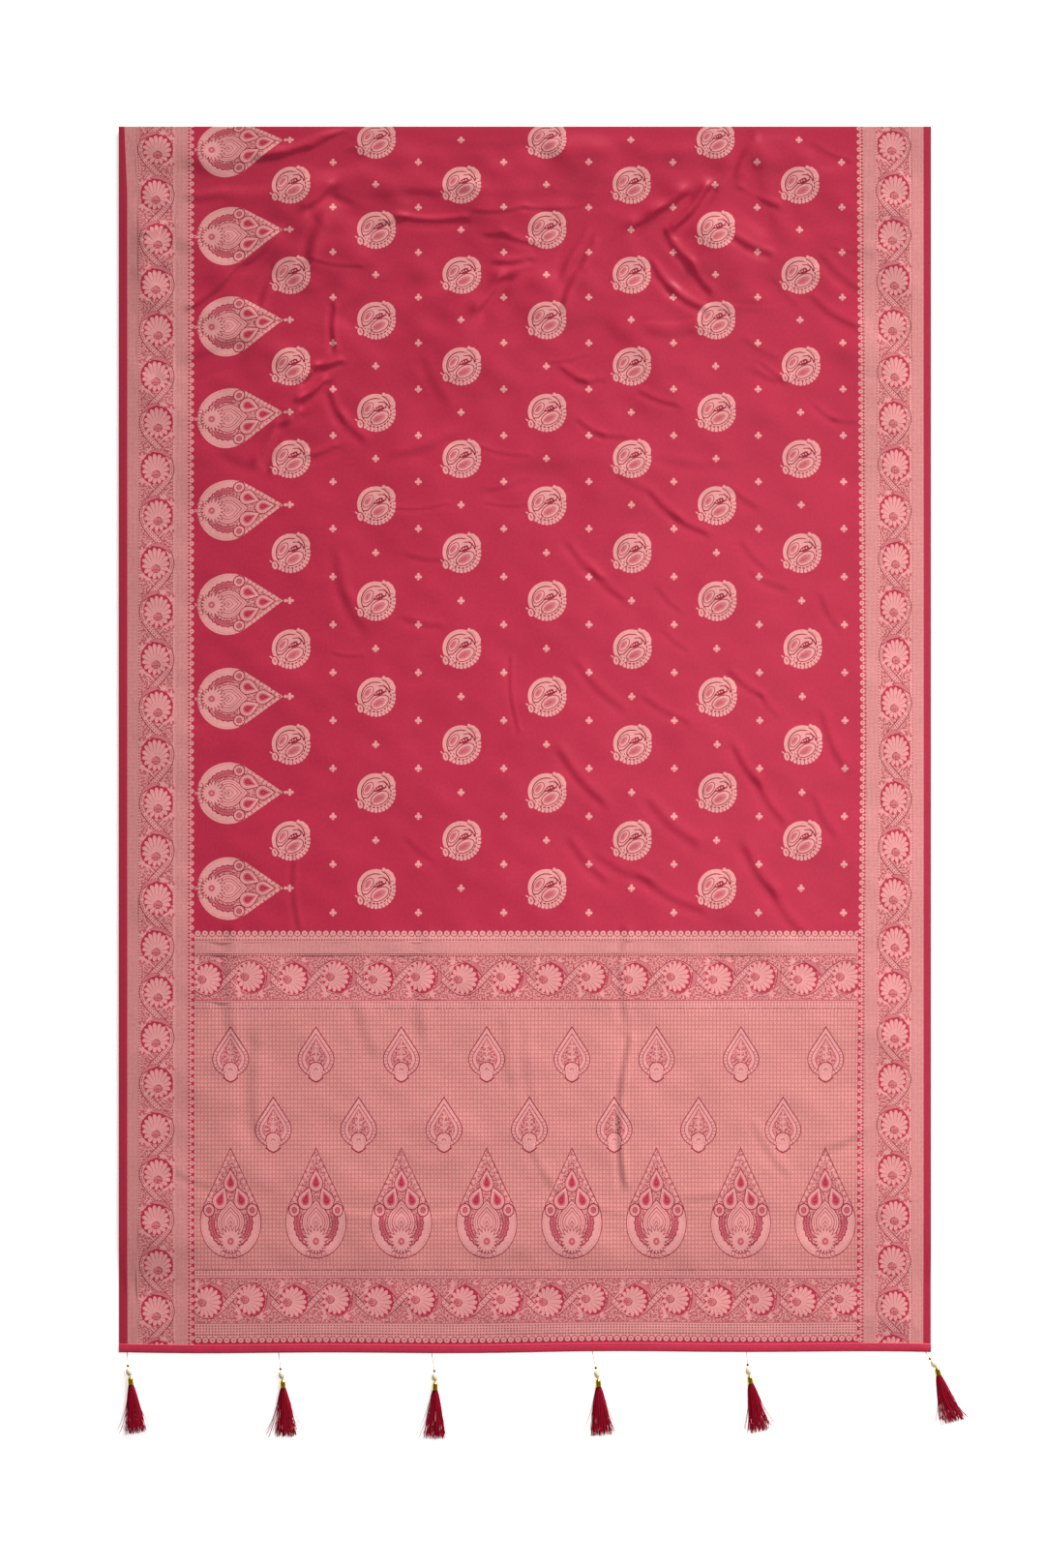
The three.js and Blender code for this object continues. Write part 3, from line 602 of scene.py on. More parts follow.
def tall_drop(outline, tip, finial):
    """Lies with its tip toward +X, `tip` from the middle of its round end; the base is at x = 0."""
    round_x, radius = 43.0, 43.0
    art = [("zari", ribbon([(-3.6, 1.8), (1.0, 0)], 1.2)), ("zari", ribbon([(-3.6, -1.8), (1.0, 0)], 1.2))]
    if outline:
        art.append((outline, drop(round_x, 0, radius + 1.0, tip + 2.0, 0, 34)))
    art.append(("filigree", drop(round_x, 0, radius, tip, 0, 34)))
    edge = math.acos(radius / tip)
    side_x, side_y = radius * math.cos(edge), radius * math.sin(edge)
    for side in (1, -1):
        for k in range(9):
            share = 0.02 + 0.104 * k
            px, py = round_x + side_x + share * (tip - side_x) - 1.2, side * side_y * (1 - share) - 2.0 * side
            art.append(("zari", disc(px, py, 2.5, count=7)))
        art.append(("zari", ribbon(arc(round_x, 0, 37.4, side * 58, side * 167, 24), 11.0, 0.3)))
        art += beads("rose", arc(round_x, 0, 40.4, side * 62, side * 158, 20), 0.7, 4)
        art += [("deep", ribbon(arc(round_x, 0, 31.2, side * 60, side * 156, 28, 1.0, 7), 1.5)),
                ("rose", ribbon(arc(round_x, 0, 27.2, side * 68, side * 140, 14), 6.6, 0.8))]
        art += beads("deep", arc(round_x, 0, 27.4, side * 78, side * 130, 7), 1.1, 4)
        art.append(("deep", ribbon(arc(round_x - 1, 0, 23.4, side * 62, side * 146, 14), 1.1)))
    for k in range(-2, 3):
        art += beads("deep", [arc(round_x, 0, 38.8, 180 + 8 * k, 0, 1)[0]], 3.5, 8)
        art += beads("zari", [arc(round_x, 0, 39.2, 180 + 8 * k, 0, 1)[0]], 2.7, 8)
    for size, rim, kind in ((20.2, 1.0, "deep"), (16.9, 0.9, "rose"), (13.7, 0.9, "deep"),
                            (10.4, 1.0, "rose"), (5.2, 0.8, "rose")):
        art += [(kind, arch(size)), ("zari", arch(round(size - rim, 1)))]
    art.append(("deep", ribbon([(41.0, 2.4), (44.8, 0), (41.0, -2.4)], 1.1)))
    for margin, wide, kind in ((1.2, 5.6, "deep"), (0.0, 4.0, "zari")):
        for k in range(18):
            reach = 19.4 if abs(k - 9) > 4 else 15.6
            art.append((kind, petal(20.0, 0, k * 20, reach + margin, wide)))
    art += [("rose", disc(20.0, 0, 4.8, count=9)), ("zari", disc(20.0, 0, 1.5, count=5))]
    for side in (1, -1):
        art += ringed_drop(69.0, side * 15.4, 10.0, side * -22)
        art += rosette(57.8, side * 31.0, 7.2)
    art += ringed_drop(90.0, 0, 9.4, 0)
    if finial:
        art.append(("zari", disc(121.6, 0, 2.3, count=8)))
        art += moved(trefoil(), -90, (128.2, 0))
    return art


def small_leaf():
    """Stands with its tip up; 50 wide and 80 tall, centred on the origin."""
    art = [("deep", drop(0, -7, 25.4, 48.4, 90, 24)), ("deep", petal(0, -23, -90, 18.2, 21))]
    art += [("zari", drop(0, -7, 24.1, 45.6, 90, 24)), ("zari", petal(0, -23, -90, 16.0, 17.6))]
    for a in range(150, 396, 12):
        art.append(("deep", ray(0, -7, 20.4, 23.4, a, 0.8)))
    art += [("deep", drop(0, -7, 20.0, 38.2, 90, 20)), ("zari", drop(0, -7, 19.0, 36.2, 90, 20)),
            ("rose", drop(0, -6.4, 15.0, 30.4, 90, 16)), ("filigree", drop(0, -6.4, 14.0, 28.4, 90, 16))]
    for k in range(4):
        for side in (1, -1):
            for step in range(2):
                px, py = side * (4.6 + 4.2 * step - 0.8 * k), -7 + 6.4 * k - 3 * step
                art.append(("deep", disc(px, py, 1.1, count=4)))
    art.append(("zari", ribbon([(0, -12), (0, 6), (0, 20)], 1.6)))
    for k in range(3):
        for side in (1, -1):
            art.append(("zari", petal(0, -6 + 8 * k, 90 - side * 48, 7.6 - 1.4 * k, 2.6)))
    art += [("deep", ribbon(arc(0, -21.5, 10.4, -8, 188, 18), 1.3)),
            ("zari", disc(0, -21.5, 9.5, count=16))]
    art += beads("rose", arc(0, -21.5, 6.9, 0, 330, 10), 0.8, 4)
    art.append(("deep", ribbon([(-2.8, -23.0), (0, -19.9), (2.8, -23.0)], 1.1)))
    return art


# %% [markdown]
# The borders carry round many-petalled flowers that look aside, and a corded strand that passes each
# flower on alternate sides; filigree and small leaves fill the rest. The side border and the pallu's
# cross bands use the same flower and strand, only turned.
# %% Flower and strand
def flower(rx, ry, eye, petals=15):
    """The petals run to an eye that lies off centre, towards `eye` degrees."""
    rim = []
    for k in range(petals):
        for share, reach in ((0.0, 1.0), (0.27, 0.92), (0.5, 0.75), (0.73, 0.92)):
            a = 2 * math.pi * (k + share) / petals
            rim.append((rx * reach * math.cos(a), ry * reach * math.sin(a)))
    art = [("zari", rim)]
    ex, ey = turned([(0.36 * ry, 0)], eye)[0]
    for k in range(petals):
        a = 2 * math.pi * (k + 0.5) / petals
        nx, ny = 0.79 * rx * math.cos(a), 0.79 * ry * math.sin(a)
        wide_x, wide_y = -0.6 * math.sin(a), 0.6 * math.cos(a)
        inner = (ex + 0.34 * (nx - ex), ey + 0.34 * (ny - ey))
        art.append(("rose", [inner, (nx - wide_x, ny - wide_y), (nx + wide_x, ny + wide_y)]))
    art.append(("blush", disc(ex, ey, rx * 0.34, ry * 0.26, count=12)))
    for across in (-4.4, -1.5, 1.5, 4.4):
        art += beads("ground", turned([(0.4 * abs(across), across)], eye, (ex, ey)), 1.15, 5)
    art += [("deep", ribbon(turned([(5.2, -2.2), (3.0, 0), (5.2, 2.2)], eye, (ex, ey)), 1.1)),
            ("deep", ribbon(arc(ex, ey, 0.27 * ry, eye + 70, eye + 190, 8), 1.0))]
    return art


def strand(path, width, pitch):
    """A corded strand: a pale ribbon with dark edges and two rows of dark dashes."""
    art = [("deep", ribbon(path, width + 2.4)), ("zari", ribbon(path, width))]
    walked = 0.0
    for (ax, ay), (bx, by) in zip(path, path[1:]):
        step = math.hypot(bx - ax, by - ay)
        walked += step
        if walked < pitch:
            continue
        walked -= pitch
        ux, uy = (bx - ax) / step, (by - ay) / step
        for side in (0.22, -0.22):
            mx, my = bx - uy * width * side, by + ux * width * side
            dash = [(mx + reach * ux, my + reach * uy) for reach in (-1.2, 1.2)]
            art.append(("deep", ribbon(dash, 1.1)))
    return art


def weaving_path(middle, swing, start, end, period, phase, steps):
    """Swings from side to side: x is middle + swing * cos, y runs from start to end."""
    out = []
    for k in range(steps + 1):
        y = start + (end - start) * k / steps
        out.append((middle + swing * math.cos(2 * math.pi * y / period + phase), y))
    return out


def crescent(x, y, radius, start, end):
    return [("deep", ribbon(arc(x, y, radius, start - 3, end + 3, 12), 7.0, 1.0)),
            ("blush", ribbon(arc(x, y, radius + 0.3, start, end, 12), 5.4, 1.0))]


def spray(x, y, degrees):
    """Three small leaves on a rosy patch."""
    art = [("rose", petal(x, y, degrees, 13, 11))]
    for lean_by in (-34, 0, 34):
        art.append(("zari", petal(x, y, degrees + lean_by, 9.6 if lean_by else 11.4, 3.4)))
    return art


# %% [markdown]
# One repeat of the side border is 22 cells long and holds two flowers, the second with its leaf on the
# other side. It is drawn a little past both ends, because the loom repeats without a seam: what leaves
# the repeat at the bottom comes in again at the top.
# %% One repeat of the side border
TILE_CELLS = 22
TILE = TILE_CELLS * CELL_U
PAST = 26.0


def border_repeat(eye):
    art = []
    for kind, left, right in (("selvedge", -1, 12.1), ("diaper", 12.1, 29.1), ("filigree", 29.1, 76.4),
                              ("diaper", 76.4, 96.6), ("ground", 96.6, 110), ("dotted", 27.0, 30.2),
                              ("dotted", 75.0, 78.0)):
        art += [(kind, [(left, -TILE - PAST), (right, -TILE - PAST), (right, PAST), (left, PAST)])]
    middle = 52.7
    thin = weaving_path(middle, 20.4, -TILE - 22, 22, TILE, math.pi, 48)
    art += [("deep", ribbon(thin, 3.8)), ("zari", ribbon(thin, 2.4))]
    flowers = [(-TILE * k / 2, -1 if k % 2 else 1) for k in range(-1, 4)]
    for y, side in flowers:
        for up in (-1, 1):
            art += spray(middle - side * 18.4, y + up * 13, 90 * up + side * up * 12)
        art += spray(middle + side * 12, y + TILE / 4 + 9, 90)
        art += spray(middle - side * 9, y + TILE / 4 - 3, -90)
    art += strand(weaving_path(middle, 19.8, -TILE - 22, 22, TILE, 0.0, 60), 7.0, 4.0)
    for y, side in flowers:
        art.append(("ground", disc(middle - 2.4 * side, y + 0.9, 20.0, 22.8, count=24)))
        art += crescent(middle - 1.4 * side, y, 25.6, 35 if side > 0 else 84, 108 if side > 0 else 150)
        art += moved(flower(19.4, 22.0, eye), 0, (middle - 1.4 * side, y))
    pitch = TILE / 12
    for k in range(-2, 14):
        art += [("zari", disc(100.7, -pitch * (k + 0.5), 3.5, count=10)),
                ("rose", disc(100.9, -pitch * (k + 0.5), 1.3, count=4)),
                ("zari", petal(96.4, -pitch * k, 0, 4.4, 3.2))]
        art += beads("deep", [(95.6, -pitch * (k + 0.25)), (95.6, -pitch * (k + 0.75))], 1.0, 4)
    return art


# %% [markdown]
# The pallu's cross bands: scallops, a zigzag and dots come first, then flowers with the strand. A repeat
# is 20 cells wide with two flowers. The lower band is the same one turned over, so the pallu is framed on
# both sides.
# %% One repeat of the pallu's bands
BAND_CELLS = 20
BAND = BAND_CELLS * CELL_S


def row_line(kind, y, height, dash=0.0):
    low, high = y - height / 2, y + height / 2
    if not dash:
        return [(kind, [(-PAST, low), (BAND + PAST, low), (BAND + PAST, high), (-PAST, high)])]
    count = round(BAND / dash)
    starts = [k * BAND / count for k in range(-2, count + 2)]
    return [(kind, [(x, low), (x + 0.62 * dash, low), (x + 0.62 * dash, high), (x, high)]) for x in starts]


def scallop_row(y, up):
    pitch = BAND / 12
    art = []
    for k in range(-2, 14):
        art.append(("deep", disc(pitch * (k + 0.5), y, 4.9, count=12)))
    for k in range(-2, 14):
        art += [("zari", disc(pitch * (k + 0.5), y, 4.1, count=10)),
                ("rose", disc(pitch * (k + 0.5), y, 1.5, count=5)),
                ("zari", petal(pitch * k, y - up * 7.6, 90 * up, 6.0, 3.2))]
    return art


def flower_band(y):
    """Flowers centred on y; the strand swings with them."""
    art = row_line("filigree", y, 66)
    middle = 3.1 * CELL_S
    paths = [weaving_path(0, 21.4, -PAST - 24, BAND + PAST, BAND, phase, 56) for phase in (0.0, math.pi)]
    thin, corded = [[(px + middle, py + y) for py, px in path] for path in paths]
    art += [("deep", ribbon(thin, 3.8)), ("zari", ribbon(thin, 2.4))]
    flowers = [(middle + BAND / 2 * k, -1 if k % 2 else 1) for k in range(-1, 4)]
    for x, side in flowers:
        for along in (-1, 1):
            art += spray(x + along * 11, y + side * 23.5, 90 - along * 82)
        art += spray(x + BAND / 4 + 9, y - side * 13, 0)
        art += spray(x + BAND / 4 - 3, y + side * 12, 180)
    art += strand(corded, 7.0, 4.0)
    for x, side in flowers:
        lift = -2.0 * side
        art.append(("ground", disc(x + 1.2, y + lift + side, 19.8, 23.2, count=24)))
        art += crescent(x, y + lift, 25.6, -40 if side < 0 else 12, 22 if side < 0 else 88)
        art += moved(flower(19.2, 22.6, 180), 0, (x, y + lift))
    return art + row_line("deep", y + 32.4, 1.1, 3.4) + row_line("rose", y - 32.4, 1.2)


def upper_bands():
    """19 cells deep, from the field down to the checked ground; y = 0 is at the field."""
    art = [("ground", [(-PAST, -40), (BAND + PAST, -40), (BAND + PAST, 10), (-PAST, 10)])]
    art += row_line("dotted", -23.4, 32.2)
    art += scallop_row(-4.4, 1)
    zig = BAND / 20
    for k in range(-2, 22):
        art.append(("zari", disc(zig * (k + 0.5), -10.6, 2.5, 2.0, 0, 4)))
    art += row_line("deep", -14.6, 1.0, 3.4)
    art += row_line("diaper", -25.0, 17)
    art += row_line("deep", -34.6, 1.2, 3.4)
    art += flower_band(-69)
    art += row_line("dotted", -108, 12)
    art += row_line("rose", -102.0, 1.2) + row_line("deep", -113.0, 1.1, 3.4)
    return art


def lower_bands():
    """18 cells deep, from the checked ground down to the hem."""
    art = row_line("dotted", -5, 26) + row_line("deep", -1.2, 1.1, 3.4) + row_line("rose", -9.6, 1.2)
    art += row_line("ground", -104, 32)
    art += row_line("dotted", -88, 20)
    art += flower_band(-45)
    art += row_line("deep", -94, 1.2, 3.4)
    art += scallop_row(-101.6, -1)
    return art


# %% [markdown]
# A drawing becomes mesh by a constrained Delaunay triangulation: it keeps every outline as edges, cuts
# them where they cross, and says for each triangle which outlines hold it. The last one painted gives the
# thread kind. The patch also gets the corners of its cells, so that it bends with the folds and meets its
# neighbours edge to edge.
# %% Patches
CLEAR, SNAP = 0.6, 0.04
HALF_S, HALF_U = CELL_S / 2, CELL_U / 2


def patch_object(name, art, rooms, step_s=HALF_S, step_u=HALF_U):
    """rooms are the patch's rectangles, in steps from its origin: left, bottom, right, top. Corners that fall
    beside an outline are left out, so that no thin slivers form there."""
    cells = set()
    for left, bottom, right, top in rooms:
        cells |= {(i, j) for i in range(left, right) for j in range(bottom, top)}
    index, points, edges = {}, [], []
    walked = []
    for _, outline in art:
        ends = np.array(outline)
        for a, b in zip(ends, np.roll(ends, -1, axis=0)):
            share = np.linspace(0, 1, 2 + int(np.hypot(*(b - a)) / CLEAR))[:, None]
            walked.append(a + (b - a) * share)
    walked = np.unique(np.round(np.concatenate(walked) / CLEAR).astype(int), axis=0)
    crowded = {(px, py) for px, py in walked.tolist()}

    def corner(i, j):
        if (i, j) not in index:
            index[i, j] = len(points)
            points.append(Vector((i * step_s, j * step_u)))
        return index[i, j]

    for i, j in sorted(cells):
        around = [corner(i, j), corner(i + 1, j), corner(i + 1, j + 1), corner(i, j + 1)]
        for (di, dj), a, b in (((0, -1), 0, 1), ((1, 0), 1, 2), ((0, 1), 2, 3), ((-1, 0), 3, 0)):
            if (i + di, j + dj) not in cells:
                edges.append((around[a], around[b]))
    rim = {k for pair in edges for k in pair}
    inner = [k for k in range(len(points)) if k not in rim]
    for k in inner:
        px, py = round(points[k].x / CLEAR), round(points[k].y / CLEAR)
        if any((px + a, py + b) in crowded for a in (-1, 0, 1) for b in (-1, 0, 1)):
            points[k] = points[edges[0][0]]
    faces, kinds = [], []
    for kind, outline in art:
        area = sum(ax * by - bx * ay for (ax, ay), (bx, by) in zip(outline, outline[1:] + outline[:1]))
        outline = outline if area > 0 else outline[::-1]
        faces.append(list(range(len(points), len(points) + len(outline))))
        points += [Vector(p) for p in outline]
        kinds.append(THREADS.index(kind))
    verts, _, tris, _, _, owners = delaunay_2d_cdt(points, edges, faces, 0, SNAP)
    keep, threads = [], []
    for tri, owner in zip(tris, owners):
        middle = (verts[tri[0]] + verts[tri[1]] + verts[tri[2]]) / 3
        if (math.floor(middle.x / step_s), math.floor(middle.y / step_u)) in cells:
            keep.append(tri)
            threads.append(kinds[max(owner)] if owner else 0)
    mesh = bpy.data.meshes.new(name)
    mesh.from_pydata([(v.x, v.y, 0) for v in verts], [], keep)
    attribute = mesh.attributes.new("thread", "INT", "FACE")
    attribute.data.foreach_set("value", threads)
    patch = bpy.data.objects.new(name, mesh)
    print("patch", name, len(keep), "triangles")
    return patch


# %% [markdown]
# Geometry Nodes repeat a patch, as the loom does: a grid of points, a copy on each point, then Realize
# Instances so that the copies are real mesh, and Set Material for each thread kind. The tree's inputs are
# the repeat's own sizes, and they are set by socket identifier before the object is first evaluated.
# %% The repeat tree
def new_tree(name, inputs):
    tree = bpy.data.node_groups.new(name, "GeometryNodeTree")
    tree.interface.new_socket("Geometry", in_out="OUTPUT", socket_type="NodeSocketGeometry")
    for label, kind in inputs.items():
        tree.interface.new_socket(label, in_out="INPUT", socket_type="NodeSocket" + kind)
    net = Net(tree)
    entry = tree.nodes.new("NodeGroupInput")
    return tree, net, {socket.name: Wire(net, socket) for socket in entry.outputs if socket.name}


def grown(tree, values):
    """Runs a tree once and returns its result as a plain mesh."""
    holder = new_object("holder", bpy.data.meshes.new("holder"))
    modifier = holder.modifiers.new("grow", "NODES")
    modifier.node_group = tree
    for name, value in values.items():
        modifier[tree.interface.items_tree[name].identifier] = value
    graph = bpy.context.evaluated_depsgraph_get()
    result = bpy.data.meshes.new_from_object(holder.evaluated_get(graph))
    bpy.data.objects.remove(holder)
    return result


def repeat_tree():
    tree, net, given = new_tree("woven_repeat", {
        "Patch": "Object", "Columns": "Int", "Rows": "Int", "Pitch across": "Float", "Pitch down": "Float",
        "Middle": "Vector"})
    lattice = net.add("GeometryNodeMeshGrid", {
        "Size X": (given["Columns"] - 1) * given["Pitch across"], "Vertices X": given["Columns"],
        "Size Y": (given["Rows"] - 1) * given["Pitch down"], "Vertices Y": given["Rows"]})
    placed = net.add("GeometryNodeTransform", {"Geometry": lattice, "Translation": given["Middle"]})
    source = net.add("GeometryNodeObjectInfo", {"Object": given["Patch"], "As Instance": True}, "Geometry")
    copies = net.add("GeometryNodeInstanceOnPoints", {"Points": placed, "Instance": source})
    cloth = net.add("GeometryNodeRealizeInstances", {"Geometry": copies})
    thread = net.add("GeometryNodeInputNamedAttribute", {"Name": "thread"}, data_type="INT")
    for number, name in enumerate(THREADS):
        same = net.add("FunctionNodeCompare", {2: thread, 3: number}, data_type="INT", operation="EQUAL")
        cloth = net.add("GeometryNodeSetMaterial",
                        {"Geometry": cloth, "Selection": same, "Material": WEAVES[name]})
    net.add("NodeGroupOutput", {0: cloth})
    return tree


REPEAT = repeat_tree()


def woven_copies(patch, first_s, first_u, columns, rows, pitch_s, pitch_u):
    """Plan positions, triangles and thread kinds of the copies; the first stands at (first_s, first_u)."""
    middle = (first_s + (columns - 1) * pitch_s / 2, -first_u - (rows - 1) * pitch_u / 2, 0.0)
    result = grown(REPEAT, {
        "Patch": patch, "Columns": columns, "Rows": rows, "Pitch across": float(pitch_s),
        "Pitch down": float(pitch_u), "Middle": middle})
    named = [WEAVES[k].name for k in THREADS]
    slots = [named.index(m.name) if m else 0 for m in result.materials]
    co = vertex_places(result)
    tri = np.zeros(len(result.polygons) * 3, dtype=int)
    result.polygons.foreach_get("vertices", tri)
    kind = np.zeros(len(result.polygons), dtype=int)
    result.polygons.foreach_get("material_index", kind)
    print("  copies", patch.name, columns * rows, len(kind), "triangles")
    return co[:, 0], -co[:, 1], tri.reshape(-1, 3), np.array(slots)[kind]


def plain_cells(first_s, first_u, columns, rows, step_s, step_u, kind, taken=()):
    """Squares of one thread kind, except where `taken` rectangles (in steps) keep room for patches."""
    free = np.ones((rows, columns), dtype=bool)
    for left, top, right, bottom in taken:
        free[max(0, top):max(0, bottom), max(0, left):max(0, right)] = False
    j, i = np.nonzero(free)
    a = j * (columns + 1) + i
    b, c, e = a + 1, a + columns + 2, a + columns + 1
    flip = ((i + j) % 2 == 0)[:, None]
    one = np.where(flip, np.stack([a, e, c], 1), np.stack([a, e, b], 1))
    two = np.where(flip, np.stack([a, c, b], 1), np.stack([e, c, b], 1))
    tri = np.concatenate([one, two])
    grid_j, grid_i = np.divmod(np.arange((rows + 1) * (columns + 1)), columns + 1)
    return first_s + grid_i * step_s, first_u + grid_j * step_u, tri, np.full(len(tri), THREADS.index(kind))


# %% [markdown]
# Now the parts of the plan are put together into pieces of cloth: joined, cut off at the plan's edges,
# draped by the layout and fold functions, and given the facing of the smooth surface itself, so that
# light runs over the folds without facets. Selvedges get their thickness, and every piece gets a UV map
# for its finish.
# %% Draping
WELD, THIN = 0.05, 0.01
ROLL_CUTS = [0.0, -0.6, -1.2, -1.8, -2.4, -3.0, -3.66]
SELVEDGE_WALL = 0.85
SLUMP, TOP_SLUMP = 10.6, 5.0


def cut_mesh(s, u, tri, kind, low_u, high_u, low_s, high_s, rolls):
    work = bmesh.new()
    mesh = bpy.data.meshes.new("plan")
    mesh.from_pydata(np.stack([s, -u, 0 * s], 1).tolist(), [], tri.tolist())
    mesh.polygons.foreach_set("material_index", kind.astype(np.int32))
    work.from_mesh(mesh)
    loose = [v for v in work.verts if not v.link_faces]
    bmesh.ops.delete(work, geom=loose, context="VERTS")
    bmesh.ops.remove_doubles(work, verts=work.verts, dist=WELD)
    cuts = [((0, -low_u, 0), (0, 1, 0)), ((0, -high_u, 0), (0, -1, 0)),
            ((low_s, 0, 0), (-1, 0, 0)), ((high_s, 0, 0), (1, 0, 0))]
    for at, outward in cuts:
        every = work.verts[:] + work.edges[:] + work.faces[:]
        bmesh.ops.bisect_plane(work, geom=every, dist=THIN, plane_co=at, plane_no=outward, clear_outer=True)
    if rolls:
        for u_cut in ROLL_CUTS:
            near = [f for f in work.faces if max(v.co.y for v in f.verts) > -0.5]
            points, sides = {v for f in near for v in f.verts}, {e for f in near for e in f.edges}
            bmesh.ops.bisect_plane(work, geom=[*points, *sides, *near], dist=THIN,
                                   plane_co=(0, -u_cut, 0), plane_no=(0, 1, 0))
    bmesh.ops.triangulate(work, faces=work.faces)
    bmesh.ops.dissolve_degenerate(work, edges=work.edges, dist=THIN)
    bmesh.ops.triangulate(work, faces=work.faces)
    work.verts.ensure_lookup_table()
    co = np.array([v.co[:2] for v in work.verts])
    faces = np.array([[v.index for v in f.verts] for f in work.faces])
    kinds = np.array([f.material_index for f in work.faces])
    work.free()
    bpy.data.meshes.remove(mesh)
    return co[:, 0], -co[:, 1], faces, kinds


def build_mesh(name, co, facing, faces, kinds, uv, weave, materials):
    mesh = bpy.data.meshes.new(name)
    mesh.vertices.add(len(co))
    mesh.vertices.foreach_set("co", co.ravel())
    size = faces.shape[1]
    mesh.loops.add(faces.size)
    mesh.loops.foreach_set("vertex_index", faces.ravel().astype(np.int32))
    mesh.polygons.add(len(faces))
    mesh.polygons.foreach_set("loop_start", np.arange(len(faces), dtype=np.int32) * size)
    for material in materials:
        mesh.materials.append(material)
    mesh.polygons.foreach_set("material_index", kinds.astype(np.int32))
    mesh.polygons.foreach_set("use_smooth", np.ones(len(faces), dtype=bool))
    mesh.update(calc_edges=True)
    layer = mesh.uv_layers.new(name="OFBake")
    layer.data.foreach_set("uv", uv[faces.ravel()].ravel())
    attribute = mesh.attributes.new("weave", "FLOAT_VECTOR", "POINT")
    attribute.data.foreach_set("vector", np.concatenate([weave, np.zeros((len(co), 1))], 1).ravel())
    if facing is not None:
        mesh.normals_split_custom_set_from_vertices(facing.tolist())
    return new_object(name, mesh)


def field_drag(s, u):
    """Beside the left border the weft was drawn down as the cloth was laid, most of all at the top."""
    slump = SLUMP * (1 - smooth_step(300, 1134, u)) + TOP_SLUMP * (1 - smooth_step(0, 150, u))
    return slump * (1 - smooth_step(125, 240, s))


def drape(name, parts, low_u, high_u, low_s, high_s, rolls=False):
    start = 0
    all_s, all_u, all_tri, all_kind = [], [], [], []
    for s, u, tri, kind in parts:
        all_s.append(s)
        all_u.append(u)
        all_tri.append(tri + start)
        all_kind.append(kind)
        start += len(s)
    s, u, tri, kind = [np.concatenate(lot) for lot in (all_s, all_u, all_tri, all_kind)]
    if low_s == FIELD_LEFT:
        u = u + field_drag(s, u)
    needed = (u[tri].max(axis=1) > low_u - 0.5) & (u[tri].min(axis=1) < high_u + 0.5)
    s, u, tri, kind = cut_mesh(s, u, tri[needed], kind[needed], low_u, high_u, low_s, high_s, rolls)
    x, d, z, facing = lay_out(s, u)
    co = to_world(x, d, z)
    weave = np.stack([s, u], 1)
    for edge_s, outward in ((0.0, -1.0), (PLAN_WIDTH, 1.0)):
        rim = np.nonzero(np.abs(s - edge_s) < 0.02)[0]
        if not len(rim):
            continue
        rim = rim[np.argsort(u[rim])]
        upper = co[rim]
        lower = upper - np.array([0, 0, SELVEDGE_WALL * MM])
        base = len(co)
        count = len(rim)
        co = np.concatenate([co, upper, lower])
        facing = np.concatenate([facing, np.tile([outward, 0, 0], (2 * count, 1))])
        weave = np.concatenate([weave, weave[rim], weave[rim]])
        k = np.arange(count - 1)
        a, b, c, e = base + k, base + k + 1, base + count + k + 1, base + count + k
        quads = [np.stack([a, e, b], 1), np.stack([b, e, c], 1)]
        if outward > 0:
            quads = [q[:, ::-1] for q in quads]
        tri = np.concatenate([tri] + quads)
        kind = np.concatenate([kind, np.full(2 * (count - 1), THREADS.index("selvedge"))])
    spread = np.array([high_s - low_s, high_u - low_u])
    uv = np.clip((weave - np.array([low_s, low_u])) / spread, 0.001, 0.999)
    uv[:, 1] = 1 - uv[:, 1]
    piece = build_mesh(name, co, facing, tri, kind, uv, weave, [WEAVES[k] for k in THREADS])
    belongs(piece, "shown_stretch")
    size = np.ptp(co, axis=0)
    print("piece", name, len(tri), "triangles", [round(float(v), 3) for v in size])
    return piece


# %% [markdown]
# The field. Paisleys stand in two sets of columns that are half a step apart, the tall drops stand along
# the left border, and trefoils fill the gaps. Each lattice is one call of the repeat tree; the satin
# between them is plain squares half a cell wide, fine enough for the sharpest fold.
# %% Weave the field
TOP_ROW = -4
SPRIG_ROOM = [(-11, -11, 11, 11)]
TREFOIL_ROOM, SHORT_ROOM = [(-3, -4, 3, 4)], [(-3, -3, 3, 3)]
SIDE_ROOM = [(0, -16, 34, 16), (34, -6, 50, 6)]
sprig = patch_object("paisley_patch", paisley(), SPRIG_ROOM)
leaf = patch_object("trefoil_patch", trefoil(), TREFOIL_ROOM)
short_leaf = patch_object("trefoil_short_patch", trefoil(), SHORT_ROOM)
side_drop = patch_object("side_drop_patch", moved(tall_drop(None, 75.7, True), 0, (3.9, 0)), SIDE_ROOM)
FIELD_SETS = [  # patch, first column and row in cells, columns, rows, pitches in cells, room in half cells
    (sprig, 42.5, 3.5, 3, 9, 40, 22, SPRIG_ROOM),
    (sprig, 22.5, 14.5, 4, 8, 40, 22, SPRIG_ROOM),
    (side_drop, 0, 3.5, 1, 9, 40, 22, SIDE_ROOM),
    (leaf, 32.5, 9, 7, 17, 20, 11, TREFOIL_ROOM),
    (short_leaf, 62.5, 3.5, 3, 9, 40, 22, SHORT_ROOM),
    (short_leaf, 42.5, 14.5, 3, 8, 40, 22, SHORT_ROOM),
]


